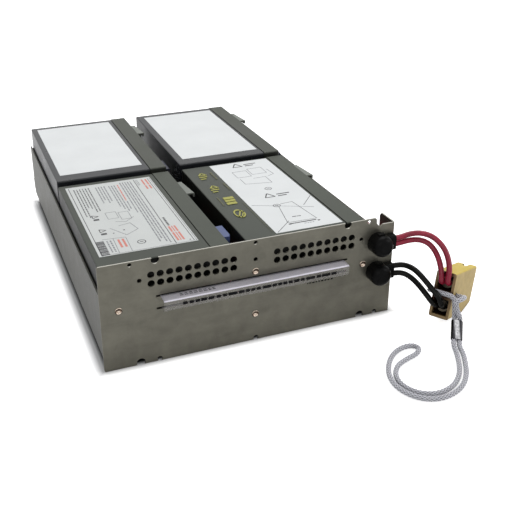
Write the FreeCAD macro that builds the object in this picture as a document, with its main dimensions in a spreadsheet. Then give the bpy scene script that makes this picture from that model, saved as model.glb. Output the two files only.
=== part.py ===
import FreeCAD, Part
import os
from math import cos, degrees, radians, sin, tan

import Sketcher
from FreeCAD import Placement, Rotation, Vector

# Battery cartridge for a rack-mounted backup power unit.
# A folded steel tray carries four sealed 12 V batteries that lie on their wide sides,
# two across and two deep, with their lids and terminals towards +X. A perforated front
# plate closes the bay. Two red and two black leads leave through two bushings on the
# plate and end in a two-pole connector that carries a braided lanyard.
#
# Frame: +X to the right, +Y from the front plate to the rear, +Z up. The origin is the
# middle of the cartridge's footprint, level with the bottom edge of the front plate.
# Most pieces are drawn with Y counted from the face of the front plate and are then
# moved to their place by Placement. Millimetres.

doc = FreeCAD.newDocument("BatteryCartridge")
sheet = doc.addObject("Spreadsheet::Sheet", "Sizes")

SIZES = (
    # front plate
    ("plate_width", 224.0), ("plate_height", 81.0), ("steel", 1.2), ("bend_radius", 1.6),
    ("wall_bend", 2.4),
    ("ear_left", 96.0), ("ear_notch", 99.2), ("ear_right", 101.6), ("ear_top", 75.2),
    ("notch_shoulder", 76.6), ("notch_floor", 73.4),
    ("return_depth", 20.0), ("return_bottom", 4.0), ("return_drop", 2.6),
    ("vent_pitch", 6.6), ("vent_radius", 2.55), ("vent_columns", 10.0),
    ("vent_inner", 16.5), ("vent_row_low", 62.1),
    ("pin_hole_radius", 1.5), ("pin_hole_x", 90.0), ("pin_hole_z", 78.7),
    ("guide_hole_radius", 1.6), ("guide_hole_x", 84.0), ("guide_hole_z", 65.8),
    ("edge_notch_radius", 2.9), ("edge_notch_x", 72.5), ("edge_notch_drop", 1.6),
    ("foot_notch_radius", 3.2), ("foot_notch_x", 86.0), ("foot_notch_z", 1.6),
    ("foot_hole_radius", 2.0), ("foot_hole_x", 72.4), ("foot_hole_right", 99.0),
    ("foot_hole_z", 1.4),
    ("slot_width", 146.0), ("slot_height", 1.6),
    # rivets that join plate and tray
    ("rivet_radius", 2.0), ("rivet_head", 2.6), ("rivet_bore", 1.3), ("rivet_lip", 0.5),
    # clear pull strap, threaded through both slots
    ("strap_width", 140.0), ("strap_film", 0.5), ("strap_reach", 9.2),
    ("strap_low", 41.85), ("strap_high", 51.95), ("strap_fold", 2.5), ("strap_tuck", 0.9),
    # tray
    ("tray_depth", 319.0), ("tray_floor", 10.0), ("wall_top", 60.0), ("flange_top", 59.0),
    ("rear_corner", 14.0), ("rear_return", 15.0), ("rear_return_low", 26.0),
    ("rear_return_high", 58.0), ("flange_right", 89.5), ("flange_step", 14.0),
    ("window_half", 74.5), ("window_low", 40.3), ("window_high", 53.2),
    # batteries
    ("battery_length", 151.0), ("battery_depth", 65.0), ("battery_rise", 94.0),
    ("case_rise", 79.3), ("case_inset", 0.4), ("groove", 0.5), ("groove_depth", 0.9),
    ("case_corner", 1.5), ("case_base_edge", 1.0), ("lid_edge", 0.9),
    ("front_battery_y", 8.0), ("rear_battery_y", 163.0),
    ("left_battery_x", -110.0), ("right_battery_x", -3.8),
    ("front_pad", 1.6), ("rear_pad", 4.2),
    ("pad_width", 60.0), ("pad_length", 120.0), ("pad_margin", 12.0),
    ("spacer_low", 17.0), ("spacer_high", 66.0), ("spacer_margin", 6.0),
    # lid face
    ("front_terminal", 20.0), ("rear_terminal", 118.0), ("terminal_up", 56.0),
    ("well_length", 18.0), ("well_width", 14.0), ("well_depth", 3.0),
    ("tab_width", 6.3), ("tab_thick", 0.8), ("tab_height", 7.0),
    ("cover_length", 78.0), ("cover_width", 24.0), ("cover_thick", 1.0),
    ("cover_start", 32.0), ("cover_low", 10.0), ("cover_recess", 0.6),
    ("grey_boot_length", 26.0), ("grey_boot_top", 7.0), ("grey_boot_low", 6.0),
    ("grey_heel", 8.0), ("grey_boot_thin", 4.6), ("grey_boot_reach", 7.2),
    ("hood_depth", 9.0), ("hood_wall", 1.1), ("hood_skirt", 3.6),
    ("big_boot_length", 19.0), ("big_boot_height", 14.0), ("big_boot_heel", 13.0),
    ("big_boot_reach", 6.6), ("big_boot_nose", 5.0),
    ("slim_boot_length", 22.0), ("slim_boot_height", 6.4), ("slim_boot_heel", 9.0),
    ("slim_boot_reach", 5.6), ("slim_boot_nose", 5.0), ("boot_slack", 0.3),
    # labels
    ("label_film", 0.15), ("label_width", 70.8), ("label_length", 130.4),
    ("label_start_rear_left", 4.9), ("label_front_rear_left", 12.8),
    ("label_start_front_left", 4.6), ("label_front_front_left", 13.6),
    ("label_start_rear_right", 6.4), ("label_front_rear_right", 12.0),
    ("drawing_label_start", 24.5), ("drawing_label_width", 53.3),
    ("drawing_label_front", 3.2), ("drawing_label_length", 144.6),
    # bushings
    ("bushing_x", 97.7), ("upper_bushing_z", 61.2), ("lower_bushing_z", 37.2),
    ("bushing_radius", 8.2), ("bushing_reach", 13.0), ("bushing_dome", 5.2),
    ("bushing_neck", 6.0), ("bushing_clip", 7.0), ("bushing_clip_thick", 0.8),
    ("nozzle_end", 12.3), ("nozzle_half", 5.9), ("nozzle_reach", 6.6), ("nozzle_round", 2.2),
    ("latch_length", 5.0), ("latch_width", 3.4), ("latch_rise", 0.8), ("latch_back", 3.0),
    # leads
    ("lead_radius", 2.1), ("lead_out", 3.3),
    ("upper_spread", 2.3), ("lower_spread", 3.25), ("inner_spread", 2.3),
    # connector
    ("housing_length", 47.6), ("housing_rise", 35.6), ("housing_thick", 15.0),
    ("housing_heel", 32.0), ("housing_toe", 5.6), ("housing_edge", 1.6),
    ("pole_low", 8.6), ("pole_high", 27.0), ("cavity_rise", 12.4), ("cavity_thick", 11.0),
    ("cavity_deep", 19.0), ("blade_rise", 9.6), ("blade_thick", 5.4),
    ("mouth_back", 38.0), ("mouth_low", 6.0), ("mouth_high", 9.4), ("short_tongue", 44.0),
    ("hitch_hole_a", 8.0), ("hitch_hole_b", 17.8), ("hitch_hole_radius", 2.4),
    ("barrel_start", 5.0), ("barrel_radius", 4.4), ("blade_end", 36.0),
    ("blade_height", 7.4), ("blade_plate", 2.0), ("spring_leaf", 0.5), ("spring_width", 6.0),
    ("spring_start", 20.5), ("spring_crown", 26.0), ("spring_end", 37.0),
    ("connector_x", 127.5), ("connector_ahead", 29.9), ("connector_yaw", 33.7),
    ("connector_pitch", 16.1),
    # lanyard
    ("cord_radius", 1.95), ("ferrule_width", 8.4), ("ferrule_thick", 4.8),
    ("ferrule_edge", 0.4),
)


class Size:
    """A length that keeps its value and the expression that ties it to the sheet."""

    def __init__(self, value, text):
        self.value = value
        self.text = text

    def combine(self, other, sign, value):
        return Size(value, f"({self.text} {sign} {text_of(other)})")

    def __add__(self, other):
        return self.combine(other, "+", self.value + value_of(other))

    def __radd__(self, other):
        return self + other

    def __sub__(self, other):
        return self.combine(other, "-", self.value - value_of(other))

    def __rsub__(self, other):
        return Size(value_of(other) - self.value, f"({text_of(other)} - {self.text})")

    def __mul__(self, other):
        return self.combine(other, "*", self.value * value_of(other))

    def __rmul__(self, other):
        return self * other

    def __truediv__(self, other):
        return self.combine(other, "/", self.value / value_of(other))

    def __neg__(self):
        return Size(-self.value, f"(0 - {self.text})")


def value_of(size):
    return size.value if isinstance(size, Size) else float(size)


def text_of(size):
    return size.text if isinstance(size, Size) else f"({float(size)})"


class Sizes:
    """The driving dimensions, one attribute for each alias of the sheet."""


S = Sizes()
for row, (alias, value) in enumerate(SIZES, start=1):
    sheet.set(f"A{row}", alias)
    sheet.set(f"B{row}", str(value))
    sheet.setAlias(f"B{row}", alias)
    setattr(S, alias, Size(value, f"Sizes.{alias}"))
doc.recompute()

PLATE_FACE = -(S.tray_depth - S.strap_reach) / 2
BATTERY_FLOOR = S.tray_floor + S.steel
SUB_PARTS = []
CUTS = []


# ---------------------------------------------------------------- drawing helpers

def bind(thing, name, size):
    if isinstance(size, Size):
        thing.setExpression(name, size.text)
    else:
        setattr(thing, name, size)


def place(thing, x=0.0, y=0.0, z=0.0):
    """Moves a sub-part whose Y is counted from the face of the front plate."""
    thing.Placement = Placement(
        Vector(value_of(x), value_of(PLATE_FACE + y), value_of(z)), Rotation())
    for axis, size in (("x", x), ("y", PLATE_FACE + y), ("z", z)):
        if isinstance(size, Size):
            thing.setExpression(f"Placement.Base.{axis}", size.text)


def keep(thing, label):
    thing.Label = label
    SUB_PARTS.append(thing)
    return thing


def new_body(label):
    return keep(doc.addObject("PartDesign::Body", label), label)


def origin_feature(body, role):
    return next(item for item in body.Origin.OriginFeatures if item.Role == role)


def new_sketch(body, name, role, offset=0.0):
    """A sketch on one of the body's planes, moved by offset along the plane's normal."""
    sketch = body.newObject("Sketcher::SketchObject", name)
    sketch.AttachmentSupport = (origin_feature(body, role), [""])
    sketch.MapMode = "FlatFace"
    sketch.AttachmentOffset = Placement(Vector(0, 0, value_of(offset)), Rotation())
    if isinstance(offset, Size):
        sketch.setExpression("AttachmentOffset.Base.z", offset.text)
    return sketch


def constrain(sketch, kind, *where, size):
    index = sketch.addConstraint(Sketcher.Constraint(kind, *where, value_of(size)))
    if isinstance(size, Size):
        sketch.setExpression(f"Constraints[{index}]", size.text)


def pin_point(sketch, curve, end, x, y):
    constrain(sketch, "DistanceX", -1, 1, curve, end, size=x)
    constrain(sketch, "DistanceY", -1, 1, curve, end, size=y)


def draw_polygon(sketch, corners):
    first = sketch.GeometryCount
    count = len(corners)
    spots = [Vector(value_of(x), value_of(y), 0) for x, y in corners]
    for number in range(count):
        sketch.addGeometry(Part.LineSegment(spots[number], spots[(number + 1) % count]), False)
    for number in range(count):
        following = first + (number + 1) % count
        sketch.addConstraint(Sketcher.Constraint("Coincident", first + number, 2, following, 1))
    for number, (x, y) in enumerate(corners):
        pin_point(sketch, first + number, 1, x, y)


def draw_rectangle(sketch, x_low, y_low, x_high, y_high):
    draw_polygon(sketch, ((x_low, y_low), (x_high, y_low), (x_high, y_high), (x_low, y_high)))


def draw_circle(sketch, x, y, radius):
    middle = Vector(value_of(x), value_of(y), 0)
    circle = sketch.addGeometry(
        Part.Circle(middle, Vector(0, 0, 1), value_of(radius)), False)
    pin_point(sketch, circle, 3, x, y)
    constrain(sketch, "Radius", circle, size=radius)


def pad(body, sketch, name, length, backwards=False, both_ways=False):
    feature = body.newObject("PartDesign::Pad", name)
    feature.Profile = sketch
    bind(feature, "Length", length)
    feature.Reversed = backwards
    feature.Midplane = both_ways
    body.Tip = feature
    return feature


def cut(body, sketch, name, depth, backwards=False):
    """A pocket of the given depth, checked at the end for having removed something."""
    base = body.Tip
    feature = body.newObject("PartDesign::Pocket", name)
    feature.Profile = sketch
    bind(feature, "Length", depth)
    feature.Reversed = backwards
    body.Tip = feature
    CUTS.append((base, feature))
    return feature


def round_edges(body, name, radius, chosen):
    """Rounds the edges for which chosen(edge) is true."""
    doc.recompute()
    base = body.Tip
    names = [f"Edge{number}" for number, edge in enumerate(base.Shape.Edges, start=1)
             if chosen(edge)]
    feature = body.newObject("PartDesign::Fillet", name)
    feature.Base = (base, names)
    bind(feature, "Radius", radius)
    body.Tip = feature
    return feature


def near(a, b, slack=0.02):
    return abs(value_of(a) - value_of(b)) < slack


def spans(edge, axis):
    """True for a straight edge that runs along one axis only."""
    box = edge.BoundBox
    reach = {"x": box.XLength, "y": box.YLength, "z": box.ZLength}
    others = [reach[key] for key in reach if key != axis]
    return reach[axis] > 0.5 and max(others) < 0.01


def at(edge, **places):
    middle = edge.BoundBox.Center
    return all(near(getattr(middle, axis), spot) for axis, spot in places.items())


# ---------------------------------------------------------------- tray

def draw_bend(sketch, x, side):
    """Seen from above, the strip that follows a wall at x and turns inwards at the rear."""
    back = S.tray_depth
    bend = S.wall_bend
    thick = S.steel
    centre = (x + side * bend, back - bend)
    reach = x + side * S.rear_return
    spots = ((x + side * bend, back), (reach, back), (reach, back - thick),
             (x + side * bend, back - thick), (x + side * thick, back - bend), (x, back - bend))
    points = [Vector(value_of(px), value_of(py), 0) for px, py in spots]
    first = sketch.GeometryCount
    for start, end in ((0, 1), (1, 2), (2, 3), (4, 5)):
        sketch.addGeometry(Part.LineSegment(points[start], points[end]), False)
    middle = Vector(value_of(centre[0]), value_of(centre[1]), 0)
    angles = (radians(90), radians(180)) if side > 0 else (0.0, radians(90))
    for radius in (bend, bend - thick):
        circle = Part.Circle(middle, Vector(0, 0, 1), value_of(radius))
        sketch.addGeometry(Part.ArcOfCircle(circle, *angles), False)
    outer = first + 4
    inner = first + 5
    top, wall = (1, 2) if side > 0 else (2, 1)
    for line, end, curve, place_on_curve in (
            (first, 2, first + 1, 1), (first + 1, 2, first + 2, 1),
            (first + 2, 2, inner, top), (first + 3, 1, inner, wall),
            (first + 3, 2, outer, wall), (first, 1, outer, top)):
        sketch.addConstraint(Sketcher.Constraint("Coincident", line, end, curve, place_on_curve))
    for curve in (outer, inner):
        pin_point(sketch, curve, 3, *centre)
    for line, end, spot in ((first, 1, 0), (first + 1, 1, 1), (first + 2, 1, 2), (first + 3, 1, 4)):
        pin_point(sketch, line, end, *spots[spot])
    constrain(sketch, "DistanceX", -1, 1, first + 2, 2, size=spots[3][0])
    constrain(sketch, "DistanceY", -1, 1, first + 3, 2, size=spots[5][1])


def make_tray():
    """One folded sheet: floor, two side walls, front flange and two rear returns."""
    body = new_body("tray")
    place(body)
    left = -S.plate_width / 2
    right = S.plate_width / 2 - S.steel
    front = S.steel
    floor_top = S.tray_floor + S.steel

    outline = new_sketch(body, "tray_outline", "XY_Plane", S.tray_floor)
    draw_rectangle(outline, left, front, right, S.tray_depth)
    pad(body, outline, "tray_block", S.wall_top - S.tray_floor)

    inside = new_sketch(body, "tray_inside", "XY_Plane", S.wall_top)
    draw_rectangle(inside, left + S.steel, front + S.steel, right - S.steel, S.tray_depth + 5)
    cut(body, inside, "tray_hollow", S.wall_top - floor_top)

    outer_bend = S.bend_radius
    round_edges(body, "floor_bends", outer_bend, lambda edge: (
        (spans(edge, "y") and (at(edge, x=left, z=S.tray_floor) or at(edge, x=right, z=S.tray_floor)))
        or (spans(edge, "x") and at(edge, y=front, z=S.tray_floor))))

    corner = new_sketch(body, "rear_corner_cut", "YZ_Plane", S.plate_width / 2 + 5)
    arc_start = (S.tray_depth - S.rear_corner, S.tray_floor)
    arc_end = (S.tray_depth, S.tray_floor + S.rear_corner)
    beyond = S.tray_depth + 5
    below = S.tray_floor - 5
    spots = (arc_end, (beyond, arc_end[1]), (beyond, below), (arc_start[0], below), arc_start)
    points = [Vector(value_of(x), value_of(y), 0) for x, y in spots]
    for number in range(4):
        corner.addGeometry(Part.LineSegment(points[number], points[number + 1]), False)
    middle = Vector(value_of(arc_start[0]), value_of(arc_end[1]), 0)
    round_part = Part.Circle(middle, Vector(0, 0, 1), value_of(S.rear_corner))
    corner.addGeometry(Part.ArcOfCircle(round_part, radians(270), radians(360)), False)
    for number in range(3):
        corner.addConstraint(Sketcher.Constraint("Coincident", number, 2, number + 1, 1))
    corner.addConstraint(Sketcher.Constraint("Coincident", 3, 2, 4, 1))
    corner.addConstraint(Sketcher.Constraint("Coincident", 4, 2, 0, 1))
    for number in range(4):
        pin_point(corner, number, 1, *spots[number])
    pin_point(corner, 4, 3, arc_start[0], arc_end[1])
    cut(body, corner, "rear_corners", S.plate_width + 10)

    ends = new_sketch(body, "wall_ends", "XY_Plane", S.rear_return_high)
    bend_start = S.tray_depth - S.wall_bend
    draw_rectangle(ends, left - 1, bend_start, left + S.steel + 0.2, S.tray_depth + 5)
    draw_rectangle(ends, right - S.steel - 0.2, bend_start, right + 1, S.tray_depth + 5)
    cut(body, ends, "bend_notches", S.rear_return_high - S.rear_return_low)
    returns = new_sketch(body, "rear_returns", "XY_Plane", S.rear_return_low)
    draw_bend(returns, left, 1)
    draw_bend(returns, right, -1)
    pad(body, returns, "rear_return_tabs", S.rear_return_high - S.rear_return_low)

    window = new_sketch(body, "flange_openings", "XZ_Plane", 0.2 - front)
    draw_rectangle(window, -S.window_half, S.window_low, S.window_half, S.window_high)
    cut(body, window, "strap_window", S.steel + 0.4)
    relief = new_sketch(body, "bushing_relief", "XZ_Plane", 0.2 - front)
    draw_polygon(relief, (
        (S.flange_right, S.flange_step), (right - S.steel, S.flange_step),
        (right - S.steel, S.wall_top + 5), (left + S.steel, S.wall_top + 5),
        (left + S.steel, S.flange_top), (S.flange_right, S.flange_top)))
    cut(body, relief, "bushing_clearance", S.steel + 0.4)
    holes = new_sketch(body, "flange_rivet_holes", "XZ_Plane", 0.2 - front)
    for x, z in RIVETS:
        draw_circle(holes, x, z, S.rivet_radius)
    cut(body, holes, "flange_holes", S.steel + 0.4)


# ---------------------------------------------------------------- front plate

RIVETS = ((-99.3, 45.7), (0.0, 56.2), (0.0, 21.6), (86.4, 45.0))


def make_front_plate():
    body = new_body("front_plate")
    place(body)
    half = S.plate_width / 2

    outline = new_sketch(body, "plate_outline", "XZ_Plane", 0.0)
    draw_polygon(outline, (
        (-half, 0.0), (half, 0.0), (half, S.ear_top), (S.ear_right, S.ear_top),
        (S.ear_notch, S.notch_floor), (S.ear_left + 0.4, S.notch_shoulder),
        (S.ear_left, S.plate_height), (-half, S.plate_height)))
    pad(body, outline, "plate", S.steel, backwards=True)

    side = new_sketch(body, "return_outline", "YZ_Plane", half)
    draw_polygon(side, (
        (0.0, S.return_bottom), (S.return_depth, S.return_bottom),
        (S.return_depth, S.ear_top - S.return_drop), (S.return_depth - 2, S.ear_top),
        (0.0, S.ear_top)))
    pad(body, side, "side_return", S.steel, backwards=True)

    round_edges(body, "plate_bend", S.bend_radius, lambda edge: (
        spans(edge, "z") and at(edge, x=half, y=0.0) and edge.BoundBox.ZLength > 40))
    round_edges(body, "plate_corners", 1.4, lambda edge: (
        spans(edge, "y") and (at(edge, x=-half, z=0.0) or at(edge, x=-half, z=S.plate_height)
                              or at(edge, x=S.ear_left, z=S.plate_height))))

    small = new_sketch(body, "small_holes", "XZ_Plane", 1.0)
    for side_x in (-S.pin_hole_x, Size(0.0, "0"), S.pin_hole_x):
        draw_circle(small, side_x, S.pin_hole_z, S.pin_hole_radius)
    for side_x in (-S.guide_hole_x, Size(0.0, "0"), S.guide_hole_x):
        draw_circle(small, side_x, S.guide_hole_z, S.guide_hole_radius)
    for x, z in RIVETS:
        draw_circle(small, x, z, S.rivet_radius)
    for z in (S.upper_bushing_z, S.lower_bushing_z):
        draw_circle(small, S.bushing_x, z, S.bushing_neck)
    for x in (-S.foot_hole_x, 0.4, S.foot_hole_right):
        draw_circle(small, x, S.foot_hole_z, S.foot_hole_radius)
    for x in (-S.foot_notch_x, S.foot_notch_x):
        draw_circle(small, x, S.foot_notch_z, S.foot_notch_radius)
    for x in (-S.edge_notch_x, S.edge_notch_x):
        draw_circle(small, x, S.plate_height - S.edge_notch_drop, S.edge_notch_radius)
    cut(body, small, "punched_holes", S.steel + 2)

    slots = new_sketch(body, "strap_slots", "XZ_Plane", 1.0)
    for z in (S.strap_low + S.strap_film / 2, S.strap_high - S.strap_film / 2):
        draw_rectangle(slots, -S.slot_width / 2, z - S.slot_height / 2,
                       S.slot_width / 2, z + S.slot_height / 2)
    cut(body, slots, "strap_slot_pair", S.steel + 2)

    vents = new_sketch(body, "first_vents", "XZ_Plane", 1.0)
    run = S.vent_pitch * (S.vent_columns - 1)
    for x in (-S.vent_inner - run, S.vent_inner):
        for z in (S.vent_row_low, S.vent_row_low + S.vent_pitch):
            draw_circle(vents, x, z, S.vent_radius)
    first = cut(body, vents, "vent_columns", S.steel + 2)
    doc.recompute()
    pattern = body.newObject("PartDesign::LinearPattern", "vents")
    pattern.Originals = [first]
    pattern.Direction = (vents, ["H_Axis"])
    bind(pattern, "Length", run)
    pattern.Occurrences = int(S.vent_columns.value)
    body.Tip = pattern
    CUTS.append((first, pattern))


def make_rivets():
    """Hollow rivets that hold the plate to the tray's flange."""
    rings = []
    for number, (x, z) in enumerate(RIVETS):
        shank = doc.addObject("Part::Cylinder", f"rivet_shank_{number}")
        bind(shank, "Radius", S.rivet_radius)
        bind(shank, "Height", S.steel * 2)
        head = doc.addObject("Part::Cone", f"rivet_head_{number}")
        bind(head, "Radius1", S.rivet_head)
        bind(head, "Radius2", S.rivet_head - S.rivet_lip / 2)
        bind(head, "Height", S.rivet_lip)
        head.Placement = Placement(Vector(0, 0, 0), Rotation(Vector(1, 0, 0), 180))
        tail = doc.addObject("Part::Cylinder", f"rivet_tail_{number}")
        bind(tail, "Radius", S.rivet_head)
        bind(tail, "Height", S.rivet_lip)
        tail.setExpression("Placement.Base.z", (S.steel * 2).text)
        whole = doc.addObject("Part::MultiFuse", f"rivet_whole_{number}")
        whole.Shapes = [shank, head, tail]
        bore = doc.addObject("Part::Cylinder", f"rivet_bore_{number}")
        bind(bore, "Radius", S.rivet_bore)
        bind(bore, "Height", S.steel * 2 + S.rivet_lip * 4)
        bore.setExpression("Placement.Base.z", (-S.rivet_lip * 2).text)
        ring = doc.addObject("Part::Cut", f"rivet_{number}")
        ring.Base = whole
        ring.Tool = bore
        ring.Placement = Placement(Vector(x, 0, z), Rotation(Vector(1, 0, 0), -90))
        rings.append(ring)
    group = keep(doc.addObject("Part::Compound", "plate_rivets"), "plate_rivets")
    group.Links = rings
    place(group)


def make_pull_strap():
    """A band of clear film: out of the upper slot, down, and back in at the lower slot."""
    body = new_body("pull_strap")
    place(body)
    outline = new_sketch(body, "strap_loop", "YZ_Plane", 0.0)
    film = S.strap_film
    inside = S.steel + film
    draw_rectangle(outline, -S.strap_reach, S.strap_low, inside, S.strap_high)
    draw_rectangle(outline, film - S.strap_reach, S.strap_low + film,
                   inside - film, S.strap_high - film)
    pad(body, outline, "strap_band", S.strap_width, both_ways=True)
    low = value_of(S.strap_low)
    high = value_of(S.strap_high)
    for name, deep, reach, radius in (
            ("folds_outside", -S.strap_reach, 0.0, S.strap_fold),
            ("folds_inside", film - S.strap_reach, film.value, S.strap_fold - film),
            ("tucks_outside", inside, 0.0, S.strap_tuck),
            ("tucks_inside", inside - film, film.value, S.strap_tuck - film)):
        round_edges(body, name, radius, lambda edge: (
            spans(edge, "x") and near(edge.BoundBox.Center.y, deep)
            and (near(edge.BoundBox.Center.z, low + reach)
                 or near(edge.BoundBox.Center.z, high - reach))))


# ---------------------------------------------------------------- batteries

BATTERIES = {
    "rear_left": (S.left_battery_x, S.rear_battery_y, S.rear_pad),
    "rear_right": (S.right_battery_x, S.rear_battery_y, S.rear_pad),
    "front_left": (S.left_battery_x, S.front_battery_y, S.front_pad),
    "front_right": (S.right_battery_x, S.front_battery_y, S.front_pad),
}


def make_case(tag, x, y, z):
    body = new_body(f"battery_case_{tag}")
    place(body, x, y, z)
    inset = S.case_inset
    outline = new_sketch(body, f"case_outline_{tag}", "YZ_Plane", 0.0)
    draw_rectangle(outline, inset, inset, S.battery_length - inset, S.battery_depth - inset)
    pad(body, outline, f"case_block_{tag}", S.case_rise)
    round_edges(body, f"case_corners_{tag}", S.case_corner, lambda edge: spans(edge, "x"))
    round_edges(body, f"case_base_{tag}", S.case_base_edge, lambda edge: near(edge.BoundBox.XMax, 0.0))
    neck = new_sketch(body, f"case_neck_{tag}", "YZ_Plane", S.case_rise)
    margin = inset + S.groove_depth
    draw_rectangle(neck, margin, margin, S.battery_length - margin, S.battery_depth - margin)
    pad(body, neck, f"case_rim_{tag}", S.groove)


def make_lid(tag, x, y, z):
    body = new_body(f"battery_lid_{tag}")
    place(body, x, y, z)
    start = S.case_rise + S.groove
    outline = new_sketch(body, f"lid_outline_{tag}", "YZ_Plane", start)
    draw_rectangle(outline, 0.0, 0.0, S.battery_length, S.battery_depth)
    pad(body, outline, f"lid_block_{tag}", S.battery_rise - start)
    round_edges(body, f"lid_corners_{tag}", S.case_corner, lambda edge: spans(edge, "x"))
    round_edges(body, f"lid_rim_{tag}", S.lid_edge,
                lambda edge: near(edge.BoundBox.XMin, S.battery_rise))
    wells = new_sketch(body, f"lid_wells_{tag}", "YZ_Plane", S.battery_rise)
    for middle in (S.front_terminal, S.rear_terminal):
        draw_rectangle(wells, middle - S.well_length / 2, S.terminal_up - S.well_width / 2,
                       middle + S.well_length / 2, S.terminal_up + S.well_width / 2)
    cut(body, wells, f"terminal_wells_{tag}", S.well_depth)
    recess = new_sketch(body, f"lid_recess_{tag}", "YZ_Plane", S.battery_rise)
    draw_rectangle(recess, S.cover_start, S.cover_low, S.cover_start + S.cover_length,
                   S.cover_low + S.cover_width)
    cut(body, recess, f"cover_recess_{tag}", S.cover_recess)


def make_vent_cover(tag, x, y, z):
    cover = doc.addObject("Part::Box", f"vent_cover_{tag}")
    bind(cover, "Length", S.cover_thick)
    bind(cover, "Width", S.cover_length)
    bind(cover, "Height", S.cover_width)
    keep(cover, f"vent_cover_{tag}")
    place(cover, x + S.battery_rise - S.cover_recess, y + S.cover_start, z + S.cover_low)


def make_label(tag, x, y, z):
    drawing = tag == "front_right"
    label = doc.addObject("Part::Box", f"battery_label_{tag}")
    bind(label, "Length", S.drawing_label_width if drawing else S.label_width)
    bind(label, "Width", S.drawing_label_length if drawing else S.label_length)
    bind(label, "Height", S.label_film)
    keep(label, f"battery_label_{tag}")
    start = S.drawing_label_start if drawing else getattr(S, f"label_start_{tag}")
    front = S.drawing_label_front if drawing else getattr(S, f"label_front_{tag}")
    place(label, x + start, y + front, z + S.battery_depth - S.case_inset)


def cut_tab_slot(body, name):
    """The slot that pushes over the flat terminal tab."""
    slit = new_sketch(body, f"{name}_slit", "YZ_Plane", 0.0)
    wide = S.tab_width / 2 + S.boot_slack
    thick = S.tab_thick / 2 + S.boot_slack
    draw_rectangle(slit, -wide, -thick, wide, thick)
    cut(body, slit, f"{name}_slot", S.tab_height - S.well_depth + S.boot_slack, backwards=True)


def make_grey_boot(tag, x, y, z):
    """A terminal cover that widens to an open hood at its front; its lead leaves downwards."""
    name = f"grey_boot_{tag}"
    body = new_body(name)
    place(body, x + S.battery_rise, y + S.rear_terminal, z + S.terminal_up)
    outline = new_sketch(body, f"{name}_plan", "XY_Plane", -S.grey_boot_low)
    front = S.grey_heel - S.grey_boot_length
    draw_polygon(outline, ((0.0, front), (S.grey_boot_reach, front),
                           (S.grey_boot_thin, S.grey_heel), (0.0, S.grey_heel)))
    pad(body, outline, f"{name}_block", S.grey_boot_top + S.grey_boot_low)
    round_edges(body, f"{name}_edges", 0.8, lambda edge: (
        edge.BoundBox.XMin > 1 and edge.BoundBox.YLength > 3))
    hood = new_sketch(body, f"{name}_hood_plan", "XY_Plane", -S.grey_boot_low - 1.0)
    inside = S.grey_boot_reach - S.hood_wall
    slope = (S.grey_boot_reach - S.grey_boot_thin) / S.grey_boot_length
    back = front + S.hood_depth
    draw_polygon(hood, ((-1.0, front - 1.0), (inside + slope, front - 1.0),
                        (inside - slope * S.hood_depth, back), (-1.0, back)))
    cut(body, hood, f"{name}_hood", S.grey_boot_top + S.grey_boot_low + 1.0 - S.hood_wall,
        backwards=True)
    # the hood's outer wall is only a short skirt, so that the lead has room below it
    skirt = new_sketch(body, f"{name}_skirt_plan", "XY_Plane", -S.grey_boot_low - 1.0)
    draw_rectangle(skirt, -1.0, front - 1.0, S.grey_boot_reach + 1.0, back)
    cut(body, skirt, f"{name}_skirt", S.grey_boot_top + S.grey_boot_low + 1.0 - S.hood_skirt,
        backwards=True)
    cut_tab_slot(body, name)


def make_blue_boot(tag, kind, x, y, z):
    """An insulated push-on terminal that lies along the lid."""
    name = f"blue_boot_{tag}"
    length, height, heel, reach, nose = (
        getattr(S, f"{kind}_boot_{part}") for part in ("length", "height", "heel", "reach",
                                                       "nose"))
    body = new_body(name)
    place(body, x + S.battery_rise, y + S.front_terminal, z + S.terminal_up)
    outline = new_sketch(body, f"{name}_plan", "XY_Plane", -height / 2)
    front = heel - length
    draw_polygon(outline, ((0.0, front), (nose, front), (reach, front + 4.0), (reach, heel),
                           (0.0, heel)))
    pad(body, outline, f"{name}_block", height)
    round_edges(body, f"{name}_edges", 1.2, lambda edge: (
        edge.BoundBox.XMin > 1 and edge.BoundBox.YLength > 3))
    cut_tab_slot(body, name)


def make_terminal_tabs():
    tabs = []
    for tag, (x, y, lift) in BATTERIES.items():
        for end, middle in (("front", S.front_terminal), ("rear", S.rear_terminal)):
            tab = doc.addObject("Part::Box", f"tab_{tag}_{end}")
            bind(tab, "Length", S.tab_height)
            bind(tab, "Width", S.tab_width)
            bind(tab, "Height", S.tab_thick)
            sizes = (x + S.battery_rise - S.well_depth, y + middle - S.tab_width / 2,
                     BATTERY_FLOOR + lift + S.terminal_up - S.tab_thick / 2)
            for axis, size in zip("xyz", sizes):
                tab.setExpression(f"Placement.Base.{axis}", size.text)
            tabs.append(tab)
    group = keep(doc.addObject("Part::Compound", "terminal_tabs"), "terminal_tabs")
    group.Links = tabs
    place(group)


def make_pad(tag, x, y, thickness):
    foam = doc.addObject("Part::Box", f"foam_pad_{tag}")
    bind(foam, "Length", S.pad_width)
    bind(foam, "Width", S.pad_length)
    bind(foam, "Height", thickness)
    keep(foam, f"foam_pad_{tag}")
    bottom = BATTERY_FLOOR
    place(foam, x + S.pad_margin, y + S.pad_margin, bottom)


def make_spacer(tag, x):
    foam = doc.addObject("Part::Box", f"foam_spacer_{tag}")
    gap_start = S.front_battery_y + S.battery_length
    bind(foam, "Length", S.battery_rise - S.spacer_margin * 2)
    bind(foam, "Width", S.rear_battery_y - gap_start)
    bind(foam, "Height", S.spacer_high - S.spacer_low)
    keep(foam, f"foam_spacer_{tag}")
    place(foam, x + S.spacer_margin, gap_start, S.spacer_low)


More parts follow.
